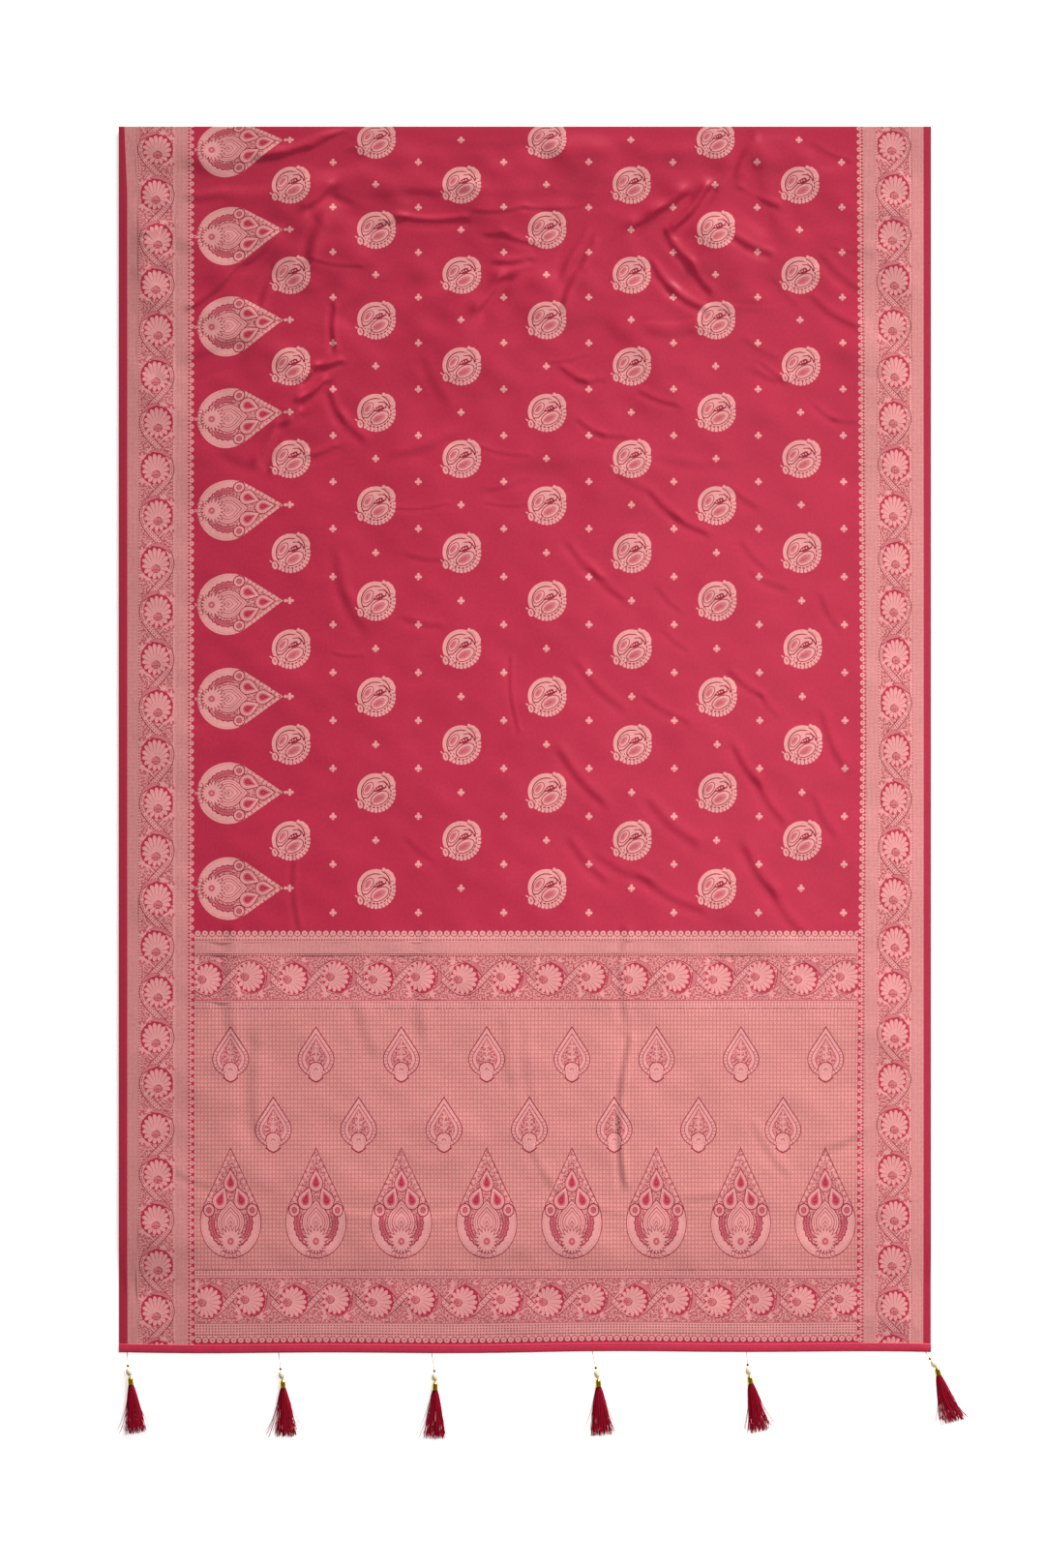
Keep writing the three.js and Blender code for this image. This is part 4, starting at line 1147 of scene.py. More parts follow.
def woven_ground(sets, top_row, end_row, kind):
    """All the copies of the sets, and plain squares of one thread kind wherever they leave room."""
    parts, taken = [], []
    for patch, column, row, columns, rows, pitch_s, pitch_u, rooms in sets:
        parts.append(woven_copies(patch, FIELD_LEFT + column * CELL_S, row * CELL_U, columns, rows,
                                  pitch_s * CELL_S, pitch_u * CELL_U))
        for k in range(columns):
            for j in range(rows):
                at_s, at_v = round(2 * (column + k * pitch_s)), round(2 * (row + j * pitch_u - top_row))
                taken += [(at_s + l, at_v - t, at_s + r, at_v - b) for l, b, r, t in rooms]
    parts.append(plain_cells(FIELD_LEFT, top_row * CELL_U, 2 * FIELD_CELLS, 2 * (end_row - top_row),
                             HALF_S, HALF_U, kind, taken))
    return parts


field_parts = woven_ground(FIELD_SETS, TOP_ROW, PALLU_START, "ground")
HALF_ROW = 94
ROLLED_END = -6.0
MIDDLE = (FIELD_LEFT, FIELD_RIGHT)
cloth = [drape("field_upper", field_parts, ROLLED_END, HALF_ROW * CELL_U, *MIDDLE, rolls=True),
         drape("field_lower", field_parts, HALF_ROW * CELL_U, PALLU_START * CELL_U, *MIDDLE)]

# %% [markdown]
# The pallu, the end that is worn over the shoulder: bands of flowers at both ends, a checked ground
# between, two rows of small leaves and one row of tall drops.
# %% Weave the pallu
UPPER_CELLS, LOWER_CELLS = 19, 18
CHECK_TOP, CHECK_BOTTOM = PALLU_START + UPPER_CELLS, PLAN_ROWS - LOWER_CELLS
upper_band = patch_object("upper_band_patch", upper_bands(), [(0, -2 * UPPER_CELLS, 2 * BAND_CELLS, 0)])
lower_band = patch_object("lower_band_patch", lower_bands(), [(0, -2 * LOWER_CELLS, 2 * BAND_CELLS, 0)])
CHECK_BACK = [("check", [(-90, -200), (90, -200), (90, 200), (-90, 200)])]
upright = moved(tall_drop("deep", 89.0, False), 90, (0, 0), (1.2, 0.96))
LEAF_ROOM = [(-9, -14, 9, 14)]
DROP_ROOM = [(-15, 0, 15, 44), (-7, 44, 7, 56)]
pallu_leaf = patch_object("small_leaf_patch", CHECK_BACK + small_leaf(), LEAF_ROOM)
pallu_drop = patch_object("pallu_drop_patch", CHECK_BACK + moved(upright, 0, (0, 5.0)), DROP_ROOM)
PALLU_SETS = [
    (pallu_leaf, 8.5, 219, 8, 1, 20, 22, LEAF_ROOM),
    (pallu_leaf, 18.5, 236, 7, 1, 20, 22, LEAF_ROOM),
    (pallu_drop, 8.5, 269, 8, 1, 20, 22, DROP_ROOM),
]
pallu_parts = [woven_copies(upper_band, FIELD_LEFT, PALLU_START * CELL_U, 8, 1, BAND, 1.0),
               woven_copies(lower_band, FIELD_LEFT, CHECK_BOTTOM * CELL_U, 8, 1, BAND, 1.0)]
pallu_parts += woven_ground(PALLU_SETS, CHECK_TOP, CHECK_BOTTOM, "check")
PALLU_HALF = 240
cloth += [drape("pallu_upper", pallu_parts, PALLU_START * CELL_U, PALLU_HALF * CELL_U, *MIDDLE),
          drape("pallu_lower", pallu_parts, PALLU_HALF * CELL_U, PLAN_ROWS * CELL_U, *MIDDLE)]

# %% [markdown]
# The two side borders run the whole length, beside the field and the pallu alike. The right one is the
# left one mirrored in the plan, with its flowers one cell higher, as the cloth lies.
# %% Weave the borders
BORDER_STEPS = 26
step_border = BORDER_WIDTH / BORDER_STEPS
border_room = [(0, -2 * TILE_CELLS, BORDER_STEPS, 0)]
left_repeat = patch_object("left_border_patch", border_repeat(-90), border_room, step_border)
mirrored = left_repeat.data.copy()
mirrored.transform(Matrix.Diagonal((-1, 1, 1, 1)))
mirrored.flip_normals()
right_repeat = bpy.data.objects.new("right_border_patch", mirrored)
SPLIT_ROW = 145
BORDERS = [  # name, patch, plan position of the selvedge, first row, the two sides of the border
    ("border_left", left_repeat, 0.0, -5, 0.0, FIELD_LEFT),
    ("border_right", right_repeat, PLAN_WIDTH, -6, FIELD_RIGHT, PLAN_WIDTH),
]
BORDER_REPEATS = 14
for name, patch, origin, first_row, low_s, high_s in BORDERS:
    parts = [woven_copies(patch, origin, first_row * CELL_U, 1, BORDER_REPEATS, 1.0, TILE)]
    cloth.append(drape(name + "_upper", parts, ROLLED_END, SPLIT_ROW * CELL_U, low_s, high_s, rolls=True))
    cloth.append(drape(name + "_lower", parts, SPLIT_ROW * CELL_U, PLAN_ROWS * CELL_U, low_s, high_s))

for piece in cloth:
    size = np.ptp(vertex_places(piece.data), axis=0)

# %% [markdown]
# Under the shown stretch the rest of the length lies folded to and fro in three layers. Each layer's
# section is drawn along the length, given its thickness on both sides, and carried across the width. The
# turns are round, because silk doesn't crease sharply under its own weight.
# %% Folded layers below
LAYER_THICK, LAYER_COLUMNS, WANDER = 0.8, 36, 0.5


def ring_faces(base, steps, count):
    """Quads between closed rings of `count` points that follow one another."""
    faces = []
    for k in range(steps):
        for i in range(count):
            a, b = base + k * count + i, base + k * count + (i + 1) % count
            faces.append((a, b, b + count, a + count))
    return faces


def thick_sheet(name, paths, left, right, material):
    """Carries open section lines (d, z) across the cloth; one piece, closed all round."""
    points, faces = [], []
    for number, path in enumerate(paths):
        line = np.array(path, dtype=float)
        along = np.gradient(line, axis=0)
        along /= np.linalg.norm(along, axis=1, keepdims=True)
        normal = np.stack([-along[:, 1], along[:, 0]], 1)
        half_wall = normal * LAYER_THICK / 2
        ring = np.concatenate([line + half_wall, (line - half_wall)[::-1]])
        base, count = len(points), len(ring)
        for k in range(LAYER_COLUMNS + 1):
            share = k / LAYER_COLUMNS
            for d, z in ring:
                west = left[number] + WANDER * math.sin(d / 170 + number * 2.1)
                east = CLOTH_WIDTH - right[number] - WANDER * math.sin(d / 140 + number * 1.3)
                points.append(to_world(west + (east - west) * share, d, z))
        faces += ring_faces(base, LAYER_COLUMNS, count)
        half = count // 2
        for k in (0, LAYER_COLUMNS):
            ends = [base + k * count + i for i in range(count)]
            for i in range(half - 1):
                faces.append((ends[i], ends[i + 1], ends[count - 2 - i], ends[count - 1 - i]))
    return closed_piece(name, points, faces, material)


def closed_piece(name, points, faces, material, sharp=50.0):
    """A closed piece with faces outward and a weave attribute laid from above."""
    mesh = bpy.data.meshes.new(name)
    mesh.from_pydata([tuple(q) for q in points], [], faces)
    work = bmesh.new()
    work.from_mesh(mesh)
    bmesh.ops.recalc_face_normals(work, faces=work.faces)
    work.to_mesh(mesh)
    work.free()
    mesh.materials.append(material)
    finish_mesh(mesh, sharp)
    return new_object(name, mesh)


def finish_mesh(mesh, sharp=50.0):
    mesh.polygons.foreach_set("use_smooth", np.ones(len(mesh.polygons), dtype=bool))
    mesh.set_sharp_from_angle(angle=math.radians(sharp))
    co = vertex_places(mesh)
    weave = np.stack([co[:, 0] / MM - LEFT, TOP - co[:, 1] / MM, co[:, 2] / MM], 1)
    attribute = mesh.attributes.get("weave") or mesh.attributes.new("weave", "FLOAT_VECTOR", "POINT")
    attribute.data.foreach_set("vector", weave.ravel())


def section_line(d0, d1, z, steps=18):
    return [(d0 + (d1 - d0) * k / steps, z) for k in range(steps + 1)]


def section_turn(d, z, radius, start, end, steps=6):
    return [(d + radius * math.cos(math.radians(start + (end - start) * k / steps)),
             z + radius * math.sin(math.radians(start + (end - start) * k / steps))) for k in range(1, steps)]


LAYER_BREAK = 770.0
FRONT_TURN, BACK_TURN = 5.4, 1530.6
top_z, mid_z, low_z = 2.62, 1.52, 0.45
satin_back = woven("satin_reverse", srgb(170, 40, 62), srgb(196, 96, 104), diaper, 0.25, 0.5, 0.38, 0.3)
front_turn = section_turn(FRONT_TURN, (mid_z + low_z) / 2, (mid_z - low_z) / 2, 90, 270)
back_turn = section_turn(BACK_TURN, (top_z + mid_z) / 2, (top_z - mid_z) / 2, 90, -90)
top_layer = section_line(4.4, LAYER_BREAK, top_z)
front_bend = [*section_line(LAYER_BREAK, FRONT_TURN, mid_z), *front_turn,
              *section_line(FRONT_TURN, LAYER_BREAK, low_z)]
back_bend = [*section_line(LAYER_BREAK, BACK_TURN, top_z), *back_turn,
             *section_line(BACK_TURN, LAYER_BREAK, mid_z)]
low_layer = section_line(LAYER_BREAK, 1522.6, low_z)
hidden_upper = thick_sheet("hidden_layers_upper", [top_layer, front_bend], (5.2, 3.4), (3.9, 5.8), satin_back)
hidden_lower = thick_sheet("hidden_layers_lower", [back_bend, low_layer], (3.6, 5.0), (5.4, 4.4), satin_back)
LAYER_LENGTHS = (3 * 0.765, 3 * 0.758)
for piece, share in zip((hidden_upper, hidden_lower), LAYER_LENGTHS):
    belongs(piece, "hidden_folded_layers")
    print("piece", piece.name, len(piece.data.polygons), "faces")

# %% [markdown]
# Seen from below, a figured cloth shows its reverse, where the spare threads float. It closes the shown
# stretch from beneath and lies flat on the folded layers, so a coarse grid that follows only the rest
# height is enough.
# %% The reverse of the shown stretch
REVERSE_INSET, REVERSE_LIFT = 0.2, 0.14


def reverse_piece(name, low_d, high_d, rows):
    columns = 40
    points, faces = [], []
    for j in range(rows + 1):
        d = low_d + (high_d - low_d) * j / rows
        for i in range(columns + 1):
            x = REVERSE_INSET + (CLOTH_WIDTH - 2 * REVERSE_INSET) * i / columns
            points.append(tuple(to_world(x, d, float(rest_height(d)) + REVERSE_LIFT)))
    for j in range(rows):
        for i in range(columns):
            a = j * (columns + 1) + i
            faces.append((a, a + 1, a + columns + 2, a + columns + 1))
    mesh = bpy.data.meshes.new(name)
    mesh.from_pydata(points, [], faces)
    mesh.materials.append(satin_back)
    finish_mesh(mesh)
    piece = new_object(name, mesh)
    belongs(piece, "shown_stretch")
    print("piece", name, "faces", mesh.polygons[0].normal[:])


REVERSE_SPLIT, REVERSE_END = 850.0, 1677.0
reverse_piece("reverse_upper", ROLL, REVERSE_SPLIT, 20)
reverse_piece("reverse_lower", REVERSE_SPLIT, REVERSE_END, 30)

# %% [markdown]
# The pallu ends in a narrow turned hem of plain satin, rolled over twice and stitched along its inner
# edge. At the right corner the roll is gathered into a small bunch. Its section is one closed outline,
# carried along the hem's line; a low ripple at the stitches' own pitch makes it pucker.
# %% The hem
HEM_STATIONS = 280
STITCH_PITCH = 4.0
HEM_SECTION = [(0, 0.9), (0, 0.45), (0.4, 0.1), (1.2, 0.02), (10.6, 0.02), (11.5, 0.15), (11.95, 0.9),
               (11.75, 1.6), (10.9, 2.1), (9.4, 2.3), (6.0, 2.22), (3.5, 2.26), (2.6, 1.98), (1.7, 2.14),
               (0.6, 1.95), (0.05, 1.4)]
BUNCH_START, BUNCH_END = CLOTH_WIDTH - 34, CLOTH_WIDTH - 6
BUNCH_SWELL, BUNCH_RISE = 0.7, 1.5


def bunched(x):
    return 1 + BUNCH_SWELL * float(smooth_step(BUNCH_START, BUNCH_END, x))


points = []
count = len(HEM_SECTION)
for k in range(HEM_STATIONS + 1):
    x = CLOTH_WIDTH * k / HEM_STATIONS
    near = float(hem_line(x)) - HEM_WIDTH
    pucker = 0.09 * math.sin(2 * math.pi * x / STITCH_PITCH)
    pucker += 0.12 * math.sin(x / 17) + 0.08 * math.sin(x / 5.3 + 1)
    for out, z in HEM_SECTION:
        lifted = z * bunched(x) + (pucker * bunched(x) if z > 1.2 else 0)
        points.append(to_world(x, near + out, lifted))
faces = ring_faces(0, HEM_STATIONS, count)
faces += [tuple(range(base, base + count)) for base in (0, HEM_STATIONS * count)]
hem_satin = woven("hem_satin", srgb(186, 44, 70), DEEP_DYE, plain, 0, 0.46, 0.4, 0.35)
hem = closed_piece("turned_hem", points, faces, hem_satin)
belongs(hem, "pallu_hem")
print("hem", len(hem.data.polygons), "faces")

# %% [markdown]
# The hem's stitches repeat along a line, which is work for Geometry Nodes: a row of points that follows
# the hem's own wave, with one small stitch copied to each.
# %% Hem stitches
def stitch_tree(material):
    tree, net, given = new_tree("stitch_row", {
        "Count": "Int", "Pitch": "Float", "Length": "Float", "Radius": "Float", "Start": "Vector"})
    pitch = net.add("ShaderNodeCombineXYZ", {0: given["Pitch"]})
    row = net.add("GeometryNodeMeshLine",
                  {"Count": given["Count"], "Start Location": given["Start"], "Offset": pitch})
    place = net.add("GeometryNodeInputPosition")
    x = net.add("ShaderNodeSeparateXYZ", {0: place}) / MM - LEFT
    wave = ((x / 178).sin() * 1.1 + (x / 61).sin() * 0.8) * -MM
    bunch = net.add("ShaderNodeMapRange", {0: x, 1: BUNCH_START, 2: BUNCH_END, 3: 0.0, 4: BUNCH_RISE * MM},
                    interpolation_type="SMOOTHSTEP")
    offset = net.add("ShaderNodeCombineXYZ", {1: wave, 2: bunch})
    row = net.add("GeometryNodeSetPosition", {"Geometry": row, "Offset": offset})
    one = net.add("GeometryNodeMeshIcoSphere", {"Radius": 1.0, "Subdivisions": 1})
    size = net.add("ShaderNodeCombineXYZ", {0: given["Length"] * 0.5, 1: given["Radius"], 2: given["Radius"]})
    copies = net.add("GeometryNodeInstanceOnPoints", {"Points": row, "Instance": one, "Scale": size})
    real = net.add("GeometryNodeRealizeInstances", {"Geometry": copies})
    done = net.add("GeometryNodeSetMaterial", {"Geometry": real, "Material": material})
    net.add("NodeGroupOutput", {0: done})
    return tree


sewing_thread = woven("sewing_thread", srgb(168, 34, 58), DEEP_DYE, plain, 0, 0.5, 0.4, 0.4)
FIRST_STITCH, STITCH_INSET, STITCH_LEVEL = 7.0, 2.6, 2.12
stitch_count = int((CLOTH_WIDTH - HEM_WIDTH) / STITCH_PITCH)
stitch_start = to_world(FIRST_STITCH, SHOWN_LENGTH - HEM_WIDTH + STITCH_INSET, STITCH_LEVEL)
stitches_mesh = grown(stitch_tree(sewing_thread), {
    "Count": stitch_count, "Pitch": STITCH_PITCH * MM, "Length": 2.9 * MM, "Radius": 0.28 * MM,
    "Start": tuple(float(v) for v in stitch_start)})
stitches_mesh.name = "hem_stitches"
finish_mesh(stitches_mesh)
stitches = new_object("hem_stitches", stitches_mesh)
belongs(stitches)
print("stitches", stitch_count, len(stitches_mesh.polygons), "faces")

# %% [markdown]
# Six tassels hang from the hem. Each is a chain: a gold thread, a small metal bead, a milky bead, a
# bullet cap and a silk skein. Beads and caps are turned shapes, so each is a profile spun round its axis.
# %% Tassel sizes
TASSELS = [  # x on the hem, thread length, leans of thread, beads and skein in degrees towards the right
    (11.6, 15.6, 4, 12, 6), (220.5, 19.6, 7, 12, 3), (431.6, 21.8, 9, 4, -1),
    (653.0, 20.4, 12, 12, 4), (865.9, 14.6, 4, 8, 11), (1112.4, 8.4, 34, 38, 14),
]
BEAD_RADIUS, BEAD_AXIS = 2.1, 3.4
PEARL_RADIUS, PEARL_LENGTH = 4.5, 12.0
CAP_LENGTH = 11.2
TASSEL_AXIS = 4.7
SEAM_GAP = 0.3
SKEIN_LENGTH, SKEIN_HALF_WIDTH, SKEIN_ROOT = 70.0, 15.5, 3.0
STRANDS, LAST_FAN = 200, 9.0


def metal(name, face, worn, roughness):
    material, net = new_material(name)
    place = net.add("ShaderNodeTexCoord", {}, "Object")
    rubbed = net.add("ShaderNodeTexNoise", {"Vector": place, "Scale": 420.0, "Detail": 3.0})
    colour = net.blend(rubbed, face, worn)
    bump = net.add("ShaderNodeBump", {"Strength": 0.25, "Distance": 0.0002, "Height": rubbed})
    rough = rubbed * 0.2 + (roughness - 0.1)
    net.feed({"Base Color": colour, "Roughness": rough, "Normal": bump}, {"Metallic": 1.0})
    return material


gold = metal("bright_gold", srgb(246, 214, 110), srgb(214, 168, 60), 0.24)
old_gold = metal("dark_gold", srgb(190, 148, 70), srgb(120, 84, 30), 0.35)
gold_thread = metal("gold_thread", srgb(222, 184, 96), srgb(176, 120, 56), 0.45)
milk, milk_net = new_material("milky_bead")
milk_place = milk_net.add("ShaderNodeTexCoord", {}, "Object")
milk_cloud = milk_net.add("ShaderNodeTexNoise", {"Vector": milk_place, "Scale": 160.0})
milk_colour = milk_net.blend(milk_cloud, srgb(236, 218, 192), srgb(214, 188, 154))
milk_net.feed({"Base Color": milk_colour, "Roughness": milk_cloud * 0.1 + 0.34},
              {"Coat Weight": 0.2, "Subsurface Weight": 0.25, "Subsurface Radius": (0.004, 0.003, 0.002)})


def spun(profile, segments):
    """Points and faces of a profile (along, radius) spun round the Y axis."""
    points, faces, rings = [], [], []
    for along, radius in profile:
        if radius < 1e-6:
            rings.append([len(points)] * segments)
            points.append((0.0, along, 0.0))
            continue
        rings.append(list(range(len(points), len(points) + segments)))
        for k in range(segments):
            a = 2 * math.pi * k / segments
            points.append((radius * math.cos(a), along, radius * math.sin(a)))
    for one, two in zip(rings, rings[1:]):
        for k in range(segments):
            corners = [one[k], one[(k + 1) % segments], two[(k + 1) % segments], two[k]]
            corners = [c for i, c in enumerate(corners) if c not in corners[:i]]
            if len(corners) > 2:
                faces.append(tuple(corners))
    return points, faces


def egg(length, radius, steps, hole):
    profile = []
    start = math.asin(hole / radius)
    for k in range(steps + 1):
        a = start + (math.pi - 2 * start) * k / steps
        profile.append((-length / 2 * math.cos(a), radius * math.sin(a)))
    inside = 0.3 * length
    return [(-inside, 0.0), (-inside, hole), *profile, (inside, hole), (inside, 0.0)]


def stand(points, at, direction, height):
    """Turns +Y to the direction and moves the points to their place, in metres."""
    dx, dy = direction
    return [((at[0] + px * -dy + py * dx) * MM, (at[1] + px * dx + py * dy) * MM, (height + pz) * MM)
            for px, py, pz in points]


def lean(degrees):
    return math.sin(math.radians(degrees)), -math.cos(math.radians(degrees))


def step_on(at, direction, length):
    return at[0] + direction[0] * length, at[1] + direction[1] * length


# %% [markdown]
# A skein is two hundred silk ends that leave one bound root and spread as they fall. Geometry Nodes grow
# them from one rule: a point for each strand, a short curve on each point, and a position that depends on
# how far along the strand it is and on the strand's own random numbers. Three-sided tubes are enough for
# threads this thin.
# %% The skein tree
def skein_tree(material):
    lengths = ("Length", "Root radius", "Half width", "Fan", "Root height", "Tip height", "Tip spread",
               "Strand radius")
    tree, net, given = new_tree("silk_skein", {
        "Strands": "Int", **{name: "Float" for name in lengths}, "Seed": "Int"})
    stations = 9
    points = net.add("GeometryNodePoints", {"Count": given["Strands"]})
    index = net.add("GeometryNodeInputIndex")
    numbered = {"Geometry": points, "Name": "strand", "Value": index}
    points = net.add("GeometryNodeStoreNamedAttribute", numbered, data_type="INT", domain="POINT")
    line = net.add("GeometryNodeCurvePrimitiveLine", {"End": (0, 0.01, 0)})
    line = net.add("GeometryNodeResampleCurve", {"Curve": line, "Count": stations})
    hairs = net.add("GeometryNodeInstanceOnPoints", {"Points": points, "Instance": line})
    hairs = net.add("GeometryNodeRealizeInstances", {"Geometry": hairs})
    strand = net.add("GeometryNodeInputNamedAttribute", {"Name": "strand"}, data_type="INT")

    def chance(low, high, salt):
        draw = {2: low, 3: high, "ID": strand, "Seed": given["Seed"] + salt}
        return net.add("FunctionNodeRandomValue", draw, 1, data_type="FLOAT")

    far = net.add("GeometryNodeSplineParameter", {}, 0)
    angle = chance(0.0, 2 * math.pi, 1)
    out = chance(0.0, 1.0, 2).math("POWER", 0.55)
    across = out * (angle + math.pi / 2).sin()
    up = out * angle.sin()
    spread = far.math("POWER", 0.78)
    stray = (chance(0.0, 1.0, 3) > 0.88) * far * far * 0.85 + 1
    side = across * (given["Root radius"] * (1 - spread) + given["Half width"] * spread) * stray
    side = side + given["Fan"] * far * far * chance(0.0, 1.0, 4)
    curl = (far * chance(3.0, 8.0, 5) + chance(0.0, 6.0, 6)).sin() * far * (given["Half width"] * 0.06)
    along = far * given["Length"] * chance(0.86, 1.0, 7) - 0.0015
    droop = given["Root height"] * (1 - far) + given["Tip height"] * far
    rise = droop + up * (given["Root radius"] * (1 - far) + given["Tip spread"] * far)
    place = net.add("ShaderNodeCombineXYZ", {0: side + curl, 1: along, 2: rise})
    hairs = net.add("GeometryNodeSetPosition", {"Geometry": hairs, "Position": place})
    hairs = net.add("GeometryNodeSetCurveRadius", {"Curve": hairs, "Radius": 1 - far * 0.45})
    section = net.add("GeometryNodeCurvePrimitiveCircle", {"Resolution": 3, "Radius": given["Strand radius"]})
    tubes = net.add("GeometryNodeCurveToMesh", {"Curve": hairs, "Profile Curve": section, "Fill Caps": True})
    tubes = net.add("GeometryNodeRealizeInstances", {"Geometry": tubes})
    done = net.add("GeometryNodeSetMaterial", {"Geometry": tubes, "Material": material})
    net.add("NodeGroupOutput", {0: done})
    return tree


def silk_material():
    material, net = new_material("tassel_silk")
    place = net.add("ShaderNodeTexCoord", {}, "Object")
    streak = noise(net, place, (1, 0.06, 1), 900.0, 2.0)
    colour = net.blend(streak, srgb(112, 5, 24), srgb(166, 14, 42))
    net.feed({"Base Color": colour, "Roughness": streak * 0.2 + 0.55}, {"Specular IOR Level": 0.14})
    return material


silk = silk_material()
SKEIN = skein_tree(silk)

# %% [markdown]
# Each tassel's pieces follow one another from the hem outwards, with the same steps as on the solids.
# %% Assemble the tassels
def tassel_piece(kind, part, shape, material, sharp=45.0):
    piece = closed_piece(f"{kind}_{number}", *shape, material, sharp)
    belongs(piece, f"tassel_{number}_{part}")


def placed_turning(profile, segments, at, direction, height):
    points, faces = spun(profile, segments)
    return stand(points, at, direction, height), faces


def twisted_thread(start, end, start_z, end_z, radius, plies, turns, stations=26, sides=10):
    points = []
    dx, dy = end[0] - start[0], end[1] - start[1]
    length = math.hypot(dx, dy)
    for k in range(stations + 1):
        t = k / stations
        cx, cy = start[0] + dx * t, start[1] + dy * t
        cz = start_z + (end_z - start_z) * (3 * t * t - 2 * t ** 3)
        for i in range(sides):
            a = 2 * math.pi * i / sides
            r = radius * (0.86 + 0.14 * math.cos(plies * a - 2 * math.pi * turns * t))
            aside = r * math.cos(a) / length
            points.append(((cx - dy * aside) * MM, (cy + dx * aside) * MM, (cz + r * math.sin(a)) * MM))
    faces = ring_faces(0, stations, sides)
    faces += [tuple(range(base, base + sides)) for base in (0, stations * sides)]
    return points, faces


CAP_PROFILE = [(0.0, 0.0), (0.0, 0.9), (0.25, 1.5), (0.9, 2.4), (1.9, 3.25), (3.0, 3.8), (4.2, 4.1),
               (7.0, 4.2), (9.3, 4.22), (9.6, 4.4), (10.8, 4.4), (11.2, 4.25), (11.2, 3.75), (9.0, 3.7),
               (6.4, 3.6), (6.4, 0.0)]
HEAD_PROFILE = [(-4.6, 0.0), (-4.6, 3.2), (0.6, 3.3), (1.2, 0.0)]
for number, (x, thread, lean_thread, lean_beads, lean_skein) in enumerate(TASSELS, 1):
    down, link, fall = lean(lean_thread), lean(lean_beads), lean(lean_skein)
    hem_at = (LEFT + x, TOP - float(hem_line(x)))
    start = step_on(hem_at, down, -1.0)
    end = step_on(hem_at, down, thread)
    bead_at = step_on(end, down, SEAM_GAP + BEAD_RADIUS)
    pearl_at = step_on(bead_at, link, BEAD_RADIUS + SEAM_GAP + PEARL_LENGTH / 2)
    cap_at = step_on(pearl_at, link, PEARL_LENGTH / 2 + SEAM_GAP)
    mouth = step_on(cap_at, fall, CAP_LENGTH)
    cord = twisted_thread(start, end, 1.2, BEAD_AXIS, 0.5, 2, thread / 2.4)
    tassel_piece("gold_thread", "thread", cord, gold_thread)
    bead = placed_turning(egg(2 * BEAD_RADIUS, BEAD_RADIUS, 12, 0.5), 24, bead_at, link, BEAD_AXIS)
    tassel_piece("ring_bead", "bead", bead, old_gold)
    pearl = placed_turning(egg(PEARL_LENGTH, PEARL_RADIUS, 18, 0.7), 32, pearl_at, link, TASSEL_AXIS)
    tassel_piece("milky_bead", "pearl", pearl, milk)
    cap = placed_turning(CAP_PROFILE, 36, cap_at, fall, TASSEL_AXIS)
    tassel_piece("bullet_cap", "cap", cap, gold, 35.0)
    fan = LAST_FAN if number == len(TASSELS) else 0.0
    lengths = {"Length": SKEIN_LENGTH, "Root radius": SKEIN_ROOT, "Half width": SKEIN_HALF_WIDTH, "Fan": fan,
               "Root height": TASSEL_AXIS, "Tip height": 3.0, "Tip spread": 2.3, "Strand radius": 0.36}
    scaled = {name: length * MM for name, length in lengths.items()}
    skein_mesh = grown(SKEIN, {"Strands": STRANDS, **scaled, "Seed": 100 * number})
    hairs = [tuple(v.co / MM) for v in skein_mesh.vertices]
    head, head_faces = placed_turning(HEAD_PROFILE, 16, mouth, fall, TASSEL_AXIS)
    every = [tuple(p.vertices) for p in skein_mesh.polygons]
    every += [tuple(i + len(hairs) for i in f) for f in head_faces]
    bpy.data.meshes.remove(skein_mesh)
    skein = (stand(hairs, mouth, fall, 0.0) + head, every)
    tassel_piece("silk_skein", "skein", skein, silk, 80.0)
print("tassels", len(TASSELS))
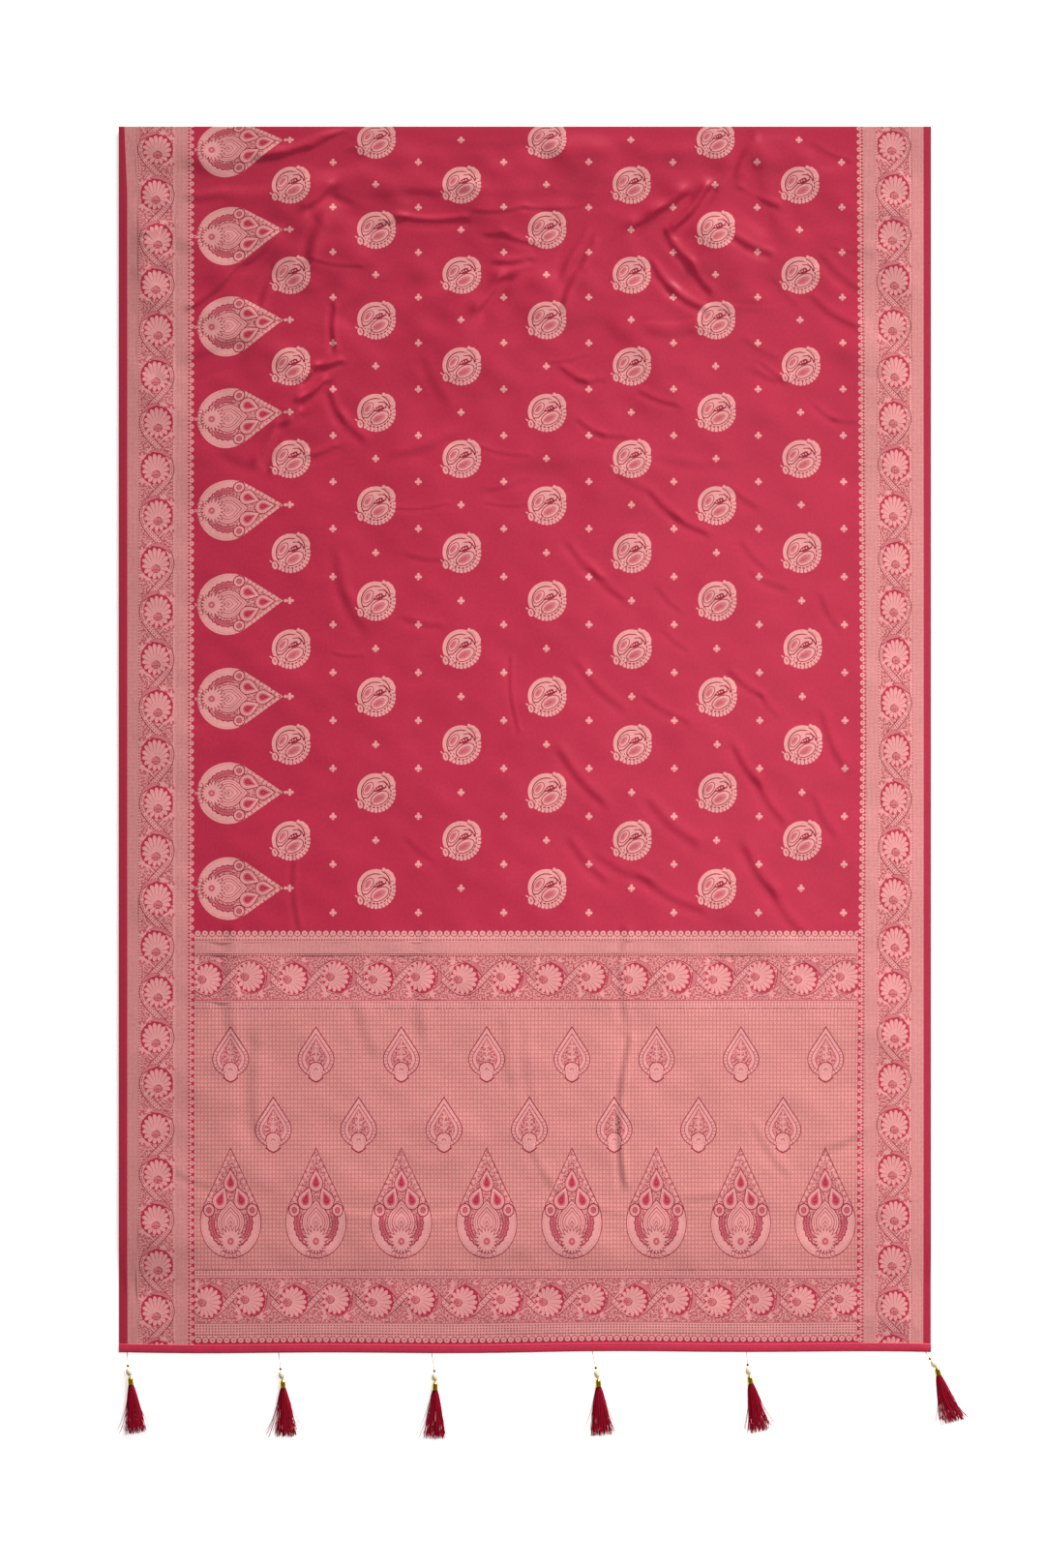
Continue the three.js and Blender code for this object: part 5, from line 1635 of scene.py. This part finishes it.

# %% [markdown]
# A white sweep that is lit from below, as in a studio, so it takes hardly any shadow. The key light is
# low and parallel, from the top right, and draws the creases; a broad lamp above makes the right and the
# middle brighter. The floor isn't part of the saree.
# %% Floor and light
floor_mesh = bpy.data.meshes.new("pale_floor")
FLOOR_REACH, FLOOR_LEVEL = 6.0, -0.0005
corners = [(x * FLOOR_REACH, y * FLOOR_REACH, FLOOR_LEVEL) for x, y in ((-1, -1), (1, -1), (1, 1), (-1, 1))]
floor_mesh.from_pydata(corners, [], [(0, 1, 2, 3)])
floor = new_object("pale_floor", floor_mesh)
paper, paper_net = new_material("pale_paper")
fibre = paper_net.add("ShaderNodeTexNoise", {"Scale": 9.0})
paper_colour = paper_net.blend(fibre, (0.90, 0.89, 0.88), (0.93, 0.925, 0.915))
paper_net.feed({"Base Color": paper_colour},
               {"Roughness": 0.9, "Emission Color": (1.0, 0.99, 0.975, 1), "Emission Strength": 0.62})
floor_mesh.materials.append(paper)


def lamp(name, kind, place, aim, settings):
    data = bpy.data.lights.new(name, kind)
    for key, value in settings.items():
        setattr(data, key, value)
    light = new_object(name, data)
    light.location = place
    light.rotation_euler = (Vector(aim) - Vector(place)).to_track_quat("-Z", "Y").to_euler()
    light.visible_camera = False
    light.visible_glossy = kind == "SUN"


KEY_HEIGHT, KEY_DISTANCE = 0.30, 4
key_from = Vector((TOWARD_LIGHT[0], -TOWARD_LIGHT[1], KEY_HEIGHT)) * KEY_DISTANCE
lamp("key_light", "SUN", key_from, (0, 0, 0),
     {"energy": 5.4, "angle": math.radians(14)})
BROAD_X, BROAD_Y, BROAD_HEIGHT = 0.41, 0.02, 1.41
lamp("broad_light", "AREA", (BROAD_X, BROAD_Y, BROAD_HEIGHT), (BROAD_X, BROAD_Y, 0),
     {"energy": 17, "shape": "RECTANGLE", "size": 0.5, "size_y": 1.75})
world = bpy.context.scene.world or bpy.data.worlds.new("soft_room")
bpy.context.scene.world = world
world.use_nodes = True
backdrop = world.node_tree.nodes["Background"]
backdrop.inputs["Color"].default_value = (1, 1, 1, 1)
backdrop.inputs["Strength"].default_value = 0.14
bpy.context.scene.view_settings.view_transform = "Standard"
bpy.context.scene.view_settings.look = "None"
